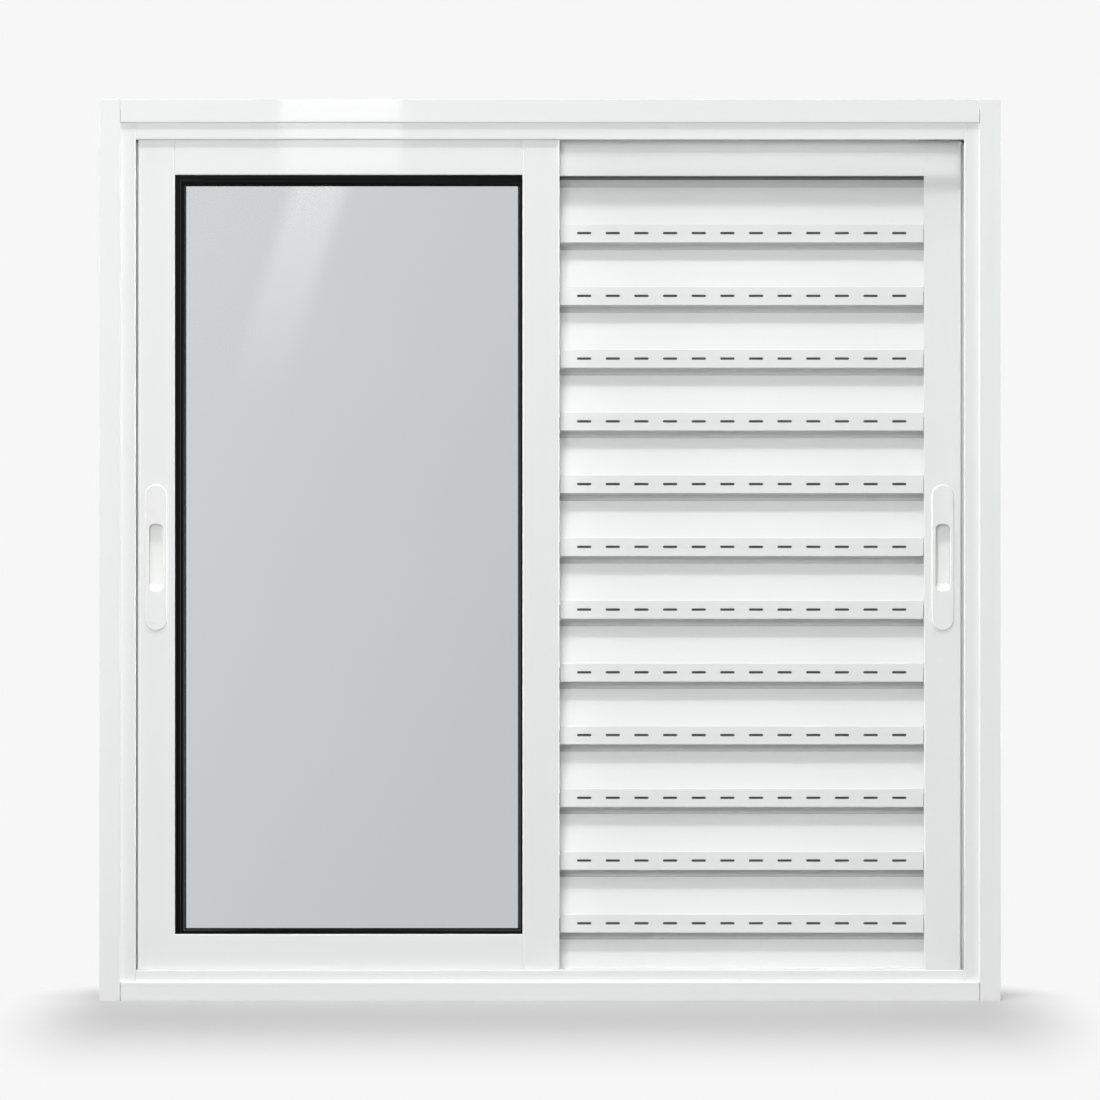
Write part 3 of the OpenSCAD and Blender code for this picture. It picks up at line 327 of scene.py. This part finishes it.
def round_edges(piece, width, steps, chosen, flat=1.0):
    """Rounds the sharp edges of the active piece that are chosen by their two end points. The
    rounding is this much flatter than it is wide, so that a broad one fits a thin wall."""
    bpy.ops.object.mode_set(mode="EDIT")
    bpy.ops.mesh.select_all(action="DESELECT")
    bpy.ops.mesh.edges_select_sharp(sharpness=SHARP_ANGLE)
    bpy.ops.object.mode_set(mode="OBJECT")
    points = piece.data.vertices
    picked = [edge.index for edge in piece.data.edges
              if edge.select and chosen(*(points[i].co for i in edge.vertices))]
    deselect_mesh(piece)
    for index in picked:
        piece.data.edges[index].select = True
    if picked:
        press(piece, flat)
        bpy.ops.object.mode_set(mode="EDIT")
        bpy.ops.mesh.bevel(offset=width, segments=steps, profile=0.5, clamp_overlap=False)
        bpy.ops.object.mode_set(mode="OBJECT")
        press(piece, 1 / flat)


def finish_piece(piece, node):
    """Shades the active piece, and puts it on the node's body in the node's place."""
    bpy.ops.object.shade_smooth_by_angle(angle=SMOOTH_ANGLE)
    even = piece.modifiers.new("even_faces", "WEIGHTED_NORMAL")
    even.keep_sharp = True
    bpy.ops.object.modifier_apply(modifier=even.name)
    piece.data.materials.clear()
    piece.data.materials.append(finish_of(node))
    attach(piece, BODY_OF[node])
    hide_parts(node)


def on_front(front):
    """Chooser of the edges that lie in a piece's front face."""
    return lambda a, b: max(a.y, b.y) < front + TOUCH


def running(axis, front):
    """Chooser of the long edges of a bar's front face."""
    return lambda a, b: on_front(front)(a, b) and abs(a[axis] - b[axis]) > ALONG_SHARE * (a - b).length


def across(axis, deepest):
    """Chooser of the edges round a bar's cut ends, from its front face down to some depth."""
    return lambda a, b: max(a.y, b.y) < deepest + TOUCH and abs(a[axis] - b[axis]) < TOUCH


def at_outline(point):
    """True where a point lies on the window's outline, seen from the front."""
    return any(abs(point[axis] - corner[axis]) < TOUCH for corner in cad_box for axis in (X, Z))


def move_points(piece, chosen, step):
    """Moves the chosen points of the active piece by one step."""
    deselect_mesh(piece)
    for point in piece.data.vertices:
        point.select = chosen(point.co)
    bpy.ops.object.mode_set(mode="EDIT")
    bpy.ops.mesh.select_mode(type="VERT")
    bpy.ops.transform.translate(value=step)
    bpy.ops.mesh.select_mode(type="EDGE")
    bpy.ops.object.mode_set(mode="OBJECT")


BAR_EDGE, BAR_EDGE_FLAT = 1.8 * MM, 1.8
OUTLINE_EDGE, CUT_EDGE = 0.35 * MM, 0.3 * MM
JOINT = 0.7 * MM  # the level trims are sawn this much short, so that their butt joints show
for node, axis in BARS.items():
    low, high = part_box(node)
    piece = merged_copy(node)
    if node in TRIMS and axis == X:
        move_points(piece, lambda p: p.x < low.x + TOUCH, (JOINT, 0, 0))
        move_points(piece, lambda p: p.x > high.x - TOUCH, (-JOINT, 0, 0))
    long_edge = running(axis, low.y)
    round_edges(piece, BAR_EDGE, 5,
                lambda a, b: long_edge(a, b) and not (at_outline(a) and at_outline(b)), BAR_EDGE_FLAT)
    round_edges(piece, OUTLINE_EDGE, 3,
                lambda a, b: long_edge(a, b) and at_outline(a) and at_outline(b))
    round_edges(piece, CUT_EDGE, 2, across(axis, low.y + BAR_EDGE / BAR_EDGE_FLAT))
    finish_piece(piece, node)

LONGEST_SLOT, HIGHEST_SLOT = 50 * MM, 3 * MM  # a slot's edges are shorter and rise less
SHORTEST_LIP_END = 8 * MM  # a lip's upright ends are longer than this
LEDGE = 0.9 * MM  # the slope meets the lip this far behind its front, which leaves a narrow ledge
LEDGE_CUT, LIP_EDGE, SLOT_EDGE = 1.0 * MM, 0.8 * MM, 0.12 * MM
for node in SLATS:
    front_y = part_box(node)[0].y
    piece = merged_copy(node)
    front = on_front(front_y)
    if front_y < lip_front + TOUCH:
        # a flat cut along the lip's top gives two edges, which then move to both sides of the ledge
        lip_top = max(point.co.z for point in piece.data.vertices if point.co.y < front_y + TOUCH)
        round_edges(piece, LEDGE_CUT, 1,
                    lambda a, b: front(a, b) and min(a.z, b.z) > lip_top - TOUCH)
        above_lip = [point.co.copy() for point in piece.data.vertices
                     if point.co.y < front_y + LEDGE and point.co.z > lip_top + TOUCH]
        slope_foot = min(above_lip, key=lambda p: p.z)
        lip_edge_z = max(point.co.z for point in piece.data.vertices if point.co.y < front_y + TOUCH)
        move_points(piece, lambda p: (p - slope_foot).yz.length < TOUCH,
                    (0, front_y + LEDGE - slope_foot.y, lip_top - slope_foot.z))
        move_points(piece, lambda p: p.y < front_y + TOUCH and p.z > lip_edge_z - TOUCH,
                    (0, 0, lip_top - lip_edge_z))
    round_edges(piece, LIP_EDGE, 4, lambda a, b: front(a, b) and (
        (a - b).length > LONGEST_SLOT or (abs(a.x - b.x) < TOUCH and (a - b).length > SHORTEST_LIP_END)))
    round_edges(piece, SLOT_EDGE, 2, lambda a, b: front(a, b) and (a - b).length < LONGEST_SLOT
                and abs(a.z - b.z) < HIGHEST_SLOT)
    finish_piece(piece, node)

PULL_EDGE, GASKET_EDGE = 1.4 * MM, 1.8 * MM
FRONT_EDGES = {"glass_pull_plate": PULL_EDGE, "louvre_pull_plate": PULL_EDGE,
               "glazing_gasket": GASKET_EDGE}
for node, width in FRONT_EDGES.items():
    piece = merged_copy(node)
    round_edges(piece, width, 5, on_front(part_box(node)[0].y))
    finish_piece(piece, node)

EASED_EDGE, EASED_ANGLE = 0.25 * MM, math.radians(50)
for node in MOULDINGS + STEEL_PIECES + LATCH_SLIDERS:
    piece = merged_copy(node)
    eased = piece.modifiers.new("eased_edges", "BEVEL")
    eased.width = EASED_EDGE
    eased.segments = 2
    eased.angle_limit = EASED_ANGLE
    bpy.ops.object.modifier_apply(modifier=eased.name)
    finish_piece(piece, node)


# Pile strips

PILE_TIPS = {"glass_lock_pile": (X, -1), "louvre_lock_pile": (X, 1), "glass_meeting_pile": (Y, 1)}
BACKING, BACKING_EDGE = 0.8 * MM, 0.15 * MM
TUFT_ROWS, TUFT_SIDES, TUFT_PITCH = 3, 5, 1.6 * MM
TIP_SHARE = 0.28  # a tuft's radius at its tip, as a share of its width
SPLAY = 0.2 * MM


def repeat(piece, axis, step, count):
    """Repeats the active piece along an axis."""
    row = piece.modifiers.new("row", "ARRAY")
    row.use_relative_offset = False
    row.use_constant_offset = True
    row.constant_offset_displace = [step if i == axis else 0 for i in range(3)]
    row.count = count
    bpy.ops.object.modifier_apply(modifier=row.name)


for node, (tip_axis, tip_way) in PILE_TIPS.items():
    low, high = (Vector(corner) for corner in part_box(node))
    side_axis = Y if tip_axis == X else X
    foot = low[tip_axis] if tip_way > 0 else high[tip_axis]
    width, height = high[side_axis] - low[side_axis], high[tip_axis] - low[tip_axis]
    length = high.z - low.z

    # woven backing strip with eased edges
    bpy.ops.object.select_all(action="DESELECT")
    bpy.ops.mesh.primitive_cube_add(size=1)
    backing = bpy.context.active_object
    size, middle = high - low, (low + high) / 2
    size[tip_axis] = BACKING
    middle[tip_axis] = foot + tip_way * BACKING / 2
    backing.scale = size
    backing.location = middle
    bpy.ops.object.transform_apply()
    bpy.ops.object.mode_set(mode="EDIT")
    bpy.ops.mesh.select_all(action="SELECT")
    bpy.ops.mesh.bevel(offset=BACKING_EDGE, segments=2)
    bpy.ops.object.mode_set(mode="OBJECT")

    # one tapered tuft, repeated in rows, with the fibre ends splayed
    tuft_length = height - BACKING - SPLAY
    tuft_width = (width - 2 * SPLAY) / TUFT_ROWS
    turn = (0, math.radians(90) * tip_way, 0) if tip_axis == X else (math.radians(-90) * tip_way, 0, 0)
    start = low.copy()
    start[tip_axis] = foot + tip_way * (BACKING + tuft_length / 2)
    start[side_axis] += SPLAY + tuft_width / 2
    start.z += TUFT_PITCH / 2
    bpy.ops.object.select_all(action="DESELECT")
    bpy.ops.mesh.primitive_cone_add(vertices=TUFT_SIDES, radius1=tuft_width / 2,
                                    radius2=TIP_SHARE * tuft_width, depth=tuft_length,
                                    location=start, rotation=turn)
    tufts = bpy.context.active_object
    tufts.name = node + "_tufts"
    bpy.ops.object.transform_apply()
    repeat(tufts, side_axis, tuft_width, TUFT_ROWS)
    repeat(tufts, Z, TUFT_PITCH, int(length / TUFT_PITCH))
    bpy.ops.object.mode_set(mode="EDIT")
    bpy.ops.mesh.select_all(action="SELECT")
    bpy.ops.transform.vertex_random(offset=SPLAY, seed=len(node))
    bpy.ops.object.mode_set(mode="OBJECT")
    backing.select_set(True)
    bpy.ops.object.join()
    finish_piece(tufts, node)


# Screws

HEAD_R, HEAD_H, SHANK_R = 3.4 * MM, 2.2 * MM, 1.75 * MM
RECESS_DEPTH, RECESS_WIDTH, RECESS_LENGTH = 1.3 * MM, 0.9 * MM, 3.8 * MM
PAN_EDGE, POINT_EDGE = 1.1 * MM, 0.9 * MM
HEAD_SIDES, SHANK_SIDES = 24, 16


def pan_screw(length):
    """A pan-head screw with a cross recess. Its head's top is at the origin, its point below."""
    bpy.ops.object.select_all(action="DESELECT")
    bpy.ops.mesh.primitive_cylinder_add(vertices=HEAD_SIDES, radius=HEAD_R, depth=HEAD_H,
                                        location=(0, 0, -HEAD_H / 2))
    head = bpy.context.active_object
    bpy.ops.object.transform_apply()
    round_edges(head, PAN_EDGE, 4, lambda a, b: min(a.z, b.z) > -TOUCH)
    cutters = []
    for quarter in (0, 1):
        bpy.ops.object.select_all(action="DESELECT")
        bpy.ops.mesh.primitive_cube_add(size=1, rotation=(0, 0, math.radians(90) * quarter))
        cutter = bpy.context.active_object
        cutter.scale = (RECESS_LENGTH, RECESS_WIDTH, 2 * RECESS_DEPTH)
        bpy.ops.object.transform_apply()
        cutters.append(cutter)
    make_active(head)
    for cutter in cutters:
        slit = head.modifiers.new("cross_recess", "BOOLEAN")
        slit.operation = "DIFFERENCE"
        slit.object = cutter
        bpy.ops.object.modifier_apply(modifier=slit.name)
        bpy.data.objects.remove(cutter)
    shank_length = length - HEAD_H
    bpy.ops.object.select_all(action="DESELECT")
    bpy.ops.mesh.primitive_cylinder_add(vertices=SHANK_SIDES, radius=SHANK_R, depth=shank_length,
                                        location=(0, 0, -HEAD_H - shank_length / 2))
    shank = bpy.context.active_object
    bpy.ops.object.transform_apply()
    round_edges(shank, POINT_EDGE, 2, lambda a, b: max(a.z, b.z) < TOUCH - length)
    head.select_set(True)
    bpy.context.view_layer.objects.active = head
    bpy.ops.object.join()
    return head


for node in SCREWS:
    solids = merged_copy(node)
    bpy.ops.object.mode_set(mode="EDIT")
    bpy.ops.mesh.select_all(action="SELECT")
    bpy.ops.mesh.separate(type="LOOSE")
    bpy.ops.object.mode_set(mode="OBJECT")
    places = []
    for solid in list(bpy.context.selected_objects):
        points = [point.co.copy() for point in solid.data.vertices]
        low = Vector([min(point[i] for point in points) for i in range(3)])
        high = Vector([max(point[i] for point in points) for i in range(3)])
        rim = max(points, key=lambda point: abs(point.z - (low.z + high.z) / 2))
        head_way = 1 if rim.x > (low.x + high.x) / 2 else -1
        head_x = high.x if head_way > 0 else low.x
        places.append((head_way, (head_x, (low.y + high.y) / 2, (low.z + high.z) / 2), high.x - low.x))
        bpy.data.objects.remove(solid)
    model = pan_screw(places[0][2])
    screws = []
    for head_way, head_top, length in places:
        screw = model.copy()
        screw.data = model.data.copy()
        bpy.context.scene.collection.objects.link(screw)
        screw.rotation_euler = (0, math.radians(90) * head_way, 0)
        screw.location = head_top
        screws.append(screw)
    bpy.data.objects.remove(model)
    bpy.ops.object.select_all(action="DESELECT")
    for screw in screws:
        screw.select_set(True)
    bpy.context.view_layer.objects.active = screws[0]
    bpy.ops.object.transform_apply()
    bpy.ops.object.join()
    screws[0].name = node + "_modelled"
    finish_piece(screws[0], node)


# Studio

PHOTO_PX = 1100
WINDOW_LEFT_PX, WINDOW_RIGHT_PX, WINDOW_BOTTOM_PX = 99.25, 1000.75, 1000.75
VIEW_DISTANCE = 10.0  # the photo shows hardly any perspective
SENSOR_MM = 36.0

low, high = (Vector(corner) for corner in cad_box)
metres_per_px = (high.x - low.x) / (WINDOW_RIGHT_PX - WINDOW_LEFT_PX)
eye_z = low.z + (WINDOW_BOTTOM_PX - PHOTO_PX / 2) * metres_per_px

camera_data = bpy.data.cameras.new("camera")
camera_data.sensor_width = SENSOR_MM
camera_data.lens = SENSOR_MM * VIEW_DISTANCE / (PHOTO_PX * metres_per_px)
camera = bpy.data.objects.new("camera", camera_data)
camera.location = (0, low.y - VIEW_DISTANCE, eye_z)
camera.rotation_euler = (math.radians(90), 0, 0)
bpy.context.scene.collection.objects.link(camera)
bpy.context.scene.camera = camera

STUDIO_WHITE = "#F7F7F7"
AMBIENT = 0.31


def seen_directly(tree):
    """1 where the eye, a mirror image or the glass shows a thing, 0 where it only gives light."""
    path = add(tree, "ShaderNodeLightPath").outputs
    mirrored = add(tree, "ShaderNodeMath", {0: path["Is Glossy Ray"], 1: path["Is Transmission Ray"]},
                   operation="MAXIMUM").outputs[0]
    return add(tree, "ShaderNodeMath", {0: path["Is Camera Ray"], 1: mirrored},
               operation="MAXIMUM").outputs[0]


world = bpy.data.worlds.new("studio")
bpy.context.scene.world = world
world.use_nodes = True
tree = world.node_tree
tree.nodes.clear()
white = add(tree, "ShaderNodeBackground", {"Color": linear(STUDIO_WHITE), "Strength": 1.0})
dim = add(tree, "ShaderNodeBackground", {"Color": linear("#FFFFFF"), "Strength": AMBIENT})
both = add(tree, "ShaderNodeMixShader", {0: seen_directly(tree), 1: dim.outputs[0], 2: white.outputs[0]})
add(tree, "ShaderNodeOutputWorld", {"Surface": both.outputs[0]})


# the grey paper near the window is a painted shadow: it runs out into the white between two distances
#  in front of the window, in metres, and so many times sooner beside and behind it, at the sides counted
#  from a little inside its ends
FADE_START, FADE_END = 0.35, 1.6
SIDE_FADE, BACK_FADE, SIDE_INSET = 10, 4, 0.05
FLOOR_RADIUS, FLOOR_SIDES = 2.0, 96


def floor_paper():
    """Studio paper: it takes the window's shadow, and it is also grey near the window as a painted shadow,
    running out into the white further off.
    """
    material, tree, place = new_material("studio_paper")
    step = place
    across_back = add(tree, "ShaderNodeVectorMath", {0: place, 1: (-1, BACK_FADE, 1)},
                      operation="MULTIPLY")
    for operation, amount in (("MULTIPLY", (1, -1, 1)), ("MAXIMUM", across_back.outputs["Vector"]),
                              ("SUBTRACT", (high.x - SIDE_INSET, 0, 0)), ("MAXIMUM", (0, 0, 0)),
                              ("MULTIPLY", (SIDE_FADE, 1, 1))):
        step = add(tree, "ShaderNodeVectorMath", {0: step, 1: amount},
                   operation=operation).outputs["Vector"]
    away = add(tree, "ShaderNodeVectorMath", {0: step}, operation="LENGTH").outputs["Value"]
    fade = add(tree, "ShaderNodeMapRange", {"Value": away, "From Min": FADE_START, "From Max": FADE_END},
               interpolation_type="SMOOTHSTEP").outputs["Result"]
    # painted shadow: the grey paper darkens the floor near the window, wherever the fade still shows it
    paper = add(tree, "ShaderNodeBsdfDiffuse", {"Color": linear("#CECECE")})
    dull = add(tree, "ShaderNodeBsdfDiffuse", {"Color": linear("#A0A0A0")})
    glow = add(tree, "ShaderNodeEmission", {"Color": linear(STUDIO_WHITE)})
    shown = add(tree, "ShaderNodeMixShader", {0: fade, 1: paper.outputs[0], 2: glow.outputs[0]})
    show(tree, add(tree, "ShaderNodeMixShader", {0: seen_directly(tree), 1: dull.outputs[0],
                                                 2: shown.outputs[0]}))
    return material


bpy.ops.object.select_all(action="DESELECT")
bpy.ops.mesh.primitive_circle_add(vertices=FLOOR_SIDES, radius=FLOOR_RADIUS, fill_type="NGON",
                                  location=(0, 0, low.z))
floor = bpy.context.active_object
floor.name = "floor"
floor.data.materials.append(floor_paper())


WALL_DISTANCE = 5.5
mirror_scale = (VIEW_DISTANCE + WALL_DISTANCE) / VIEW_DISTANCE


def mirrored_x(photo_x):
    """Where on the studio wall the thing stands that a flat pane mirrors at this place."""
    return (photo_x - PHOTO_PX / 2) * metres_per_px * mirror_scale


def mirrored_z(photo_y):
    """The height on the studio wall of the thing that a flat pane mirrors at this place."""
    return eye_z + (PHOTO_PX / 2 - photo_y) * metres_per_px * mirror_scale


BOX_LEFT_PX, BOX_RIGHT_PX, BOX_FOOT_PX, BOX_HEAD_PX = 280, 402, 182, 100
STREAK_TOP_PX, STREAK_FOOT_PX = 190, 400
STREAK_LEFT_PX, STREAK_RIGHT_PX = 292, 345  # at its top
STREAK_LEAN = 0.31  # to the left, for each step down
WALL_TILT = 0.465  # how much of the wall's paling goes upwards, for each part to the left
WALL_DIM, WALL_PALE = 0.9, 3.8
BOX_BLUR, STREAK_BLUR = 0.006, 0.02  # half widths of their soft sides
BOX_LEVELS, STREAK_LEVELS = (4.0, 10.0), (0.0, 3.0)  # at the foot and at the head


def studio_wall():
    """The dim wall that faces the window, paler towards the upper left, with a soft box and the
    slanting streak of light that it throws down the wall. Glass and gloss mirror it."""
    material, tree, place = new_material("studio_wall")
    at = add(tree, "ShaderNodeSeparateXYZ", {"Vector": place}).outputs
    height = add(tree, "ShaderNodeMath", {0: at["Z"], 1: WALL_TILT}, operation="MULTIPLY").outputs[0]
    rise = add(tree, "ShaderNodeMath", {0: height, 1: at["X"]}, operation="SUBTRACT").outputs[0]
    wall = add(tree, "ShaderNodeMapRange", {
        "Value": rise, "From Min": WALL_TILT * eye_z,
        "From Max": WALL_TILT * mirrored_z(BOX_HEAD_PX) - mirrored_x(WINDOW_LEFT_PX),
        "To Min": WALL_DIM, "To Max": WALL_PALE}).outputs["Result"]

    lean = add(tree, "ShaderNodeMath", {0: at["Z"], 1: -STREAK_LEAN,
                                        2: STREAK_LEAN * mirrored_z(STREAK_TOP_PX)},
               operation="MULTIPLY_ADD").outputs[0]
    upright = add(tree, "ShaderNodeMath", {0: at["X"], 1: lean}, operation="ADD").outputs[0]
    lights = []
    for across_at, left, right, soft, foot, head, levels in (
            (at["X"], BOX_LEFT_PX, BOX_RIGHT_PX, BOX_BLUR, BOX_FOOT_PX, BOX_HEAD_PX, BOX_LEVELS),
            (upright, STREAK_LEFT_PX, STREAK_RIGHT_PX, STREAK_BLUR, STREAK_FOOT_PX, STREAK_TOP_PX,
             STREAK_LEVELS)):
        rising = add(tree, "ShaderNodeMapRange", {
            "Value": across_at, "From Min": mirrored_x(left) - soft, "From Max": mirrored_x(left) + soft},
            interpolation_type="SMOOTHSTEP").outputs["Result"]
        falling = add(tree, "ShaderNodeMapRange", {
            "Value": across_at, "From Min": mirrored_x(right) - soft, "From Max": mirrored_x(right) + soft,
            "To Min": 1.0, "To Max": 0.0}, interpolation_type="SMOOTHSTEP").outputs["Result"]
        level = add(tree, "ShaderNodeMapRange", {
            "Value": at["Z"], "From Min": mirrored_z(foot), "From Max": mirrored_z(head),
            "To Min": levels[0], "To Max": levels[1]}).outputs["Result"]
        band = add(tree, "ShaderNodeMath", {0: rising, 1: falling}, operation="MULTIPLY").outputs[0]
        lights.append(add(tree, "ShaderNodeMath", {0: band, 1: level}, operation="MULTIPLY").outputs[0])

    box_edge = mirrored_z(BOX_FOOT_PX)
    above = add(tree, "ShaderNodeMath", {0: at["Z"], 1: box_edge}, operation="GREATER_THAN").outputs[0]
    lamp = add(tree, "ShaderNodeMix", {"Factor": above, "A": lights[1], "B": lights[0]}).outputs["Result"]
    total = add(tree, "ShaderNodeMath", {0: wall, 1: lamp}, operation="ADD").outputs[0]
    show(tree, add(tree, "ShaderNodeEmission", {"Color": linear("#FFFFFF"), "Strength": total}))
    return material


def mirror_card(name, corner, size, material):
    """A glowing card that only gloss and glass mirror. It spans from a corner by a size, and one
    part of the size is 0."""
    bpy.ops.object.select_all(action="DESELECT")
    right_angle = math.radians(90)
    turn = {X: (0, right_angle, 0), Y: (right_angle, 0, 0), Z: (0, 0, 0)}[list(size).index(0)]
    bpy.ops.mesh.primitive_plane_add(size=1, rotation=turn)
    card = bpy.context.active_object
    card.name = name
    bpy.ops.object.transform_apply()
    card.scale = [length or 1 for length in size]
    card.location = Vector(corner) + Vector(size) / 2
    bpy.ops.object.transform_apply()
    card.data.materials.append(material)
    for kind in ("camera", "diffuse", "transmission", "volume_scatter", "shadow"):
        setattr(card, "visible_" + kind, False)


def edge_panel(name, level):
    """A bright panel beside or above the window, which draws a light line on rounded edges."""
    material, tree = new_material(name)[:2]
    show(tree, add(tree, "ShaderNodeEmission", {"Color": linear("#FFFFFF"), "Strength": level}))
    return material


WALL_WIDTH, WALL_HEIGHT, WALL_DROP = 10, 3.4, 1  # the wall's foot lies the drop below the floor
mirror_card("studio_wall", (-WALL_WIDTH / 2, -WALL_DISTANCE, low.z - WALL_DROP),
            (WALL_WIDTH, 0, WALL_HEIGHT), studio_wall())

SIDE_PANEL_X, SIDE_PANEL_Y, SIDE_PANEL_SIZE = 3.2, -4.7, (0, 5.2, 2.4)
for name, side, level in (("left_panel", -1, 18.0), ("right_panel", 1, 24.0)):
    mirror_card(name, (side * SIDE_PANEL_X, SIDE_PANEL_Y, low.z), SIDE_PANEL_SIZE,
                edge_panel(name, level))

TOP_PANEL_CORNER, TOP_PANEL_SIZE, TOP_PANEL_LEVEL = (-2, -1.5, 3.2), (4, 2.5, 0), 14.0
mirror_card("top_panel", TOP_PANEL_CORNER, TOP_PANEL_SIZE, edge_panel("top_panel", TOP_PANEL_LEVEL))


def soft_box(name, azimuth, elevation, distance, size, level, aim=(0, 0, eye_z), grid=None):
    """A soft box that faces the window's middle or another aim. A level of 1 would light white
    paper, held square to it, to full white. A grid keeps its beam within so many degrees."""
    data = bpy.data.lights.new(name, "AREA")
    data.shape = "RECTANGLE"
    data.size, data.size_y = size
    data.energy = level * (math.pi * distance) ** 2
    if grid:
        data.spread = math.radians(grid)
        data.energy = level * math.pi * data.size * data.size_y
    turn, tilt = math.radians(azimuth), math.radians(elevation)
    away = Vector((math.sin(turn) * math.cos(tilt), -math.cos(turn) * math.cos(tilt), math.sin(tilt)))
    lamp = bpy.data.objects.new(name, data)
    lamp.location = Vector(aim) + away * distance
    lamp.rotation_euler = away.to_track_quat("Z", "Y").to_euler()
    for kind in ("camera", "glossy", "transmission"):
        setattr(lamp, "visible_" + kind, False)
    bpy.context.scene.collection.objects.link(lamp)


# the louvre leaf's top rail lies deep under the head, so it has a strip light of its own
RAIL_LEFT_PX, RAIL_RIGHT_PX, RAIL_MIDDLE_PX = 558, 961, 163
STRIP_HEIGHT = 24 * MM
rail_aim = ((RAIL_LEFT_PX + RAIL_RIGHT_PX - PHOTO_PX) / 2 * metres_per_px,
            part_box("louvre_top_rail")[0].y,
            eye_z + (PHOTO_PX / 2 - RAIL_MIDDLE_PX) * metres_per_px)
rail_width = (RAIL_RIGHT_PX - RAIL_LEFT_PX) * metres_per_px
soft_box("rail_light", azimuth=0, elevation=20, distance=1.0, size=(rail_width, STRIP_HEIGHT), level=0.25,
         aim=rail_aim, grid=1.0)
soft_box("front_light", azimuth=-8, elevation=8, distance=7.0, size=(2.4, 1.6), level=0.342)
# the high light is small in height, so that the shadow below each lip has a clear lower edge
soft_box("high_light", azimuth=-6, elevation=60, distance=6.0, size=(1.2, 0.6), level=0.285)
soft_box("top_light", azimuth=0, elevation=76, distance=5.0, size=(3.0, 3.4), level=0.29)
soft_box("left_light", azimuth=-78, elevation=8, distance=3.5, size=(0.5, 1.6), level=0.12)
soft_box("right_light", azimuth=78, elevation=8, distance=3.5, size=(0.5, 1.6), level=0.12)
soft_box("back_light", azimuth=180, elevation=50, distance=4.0, size=(2.0, 2.0), level=0.42)

bpy.context.scene.view_settings.view_transform = "Standard"
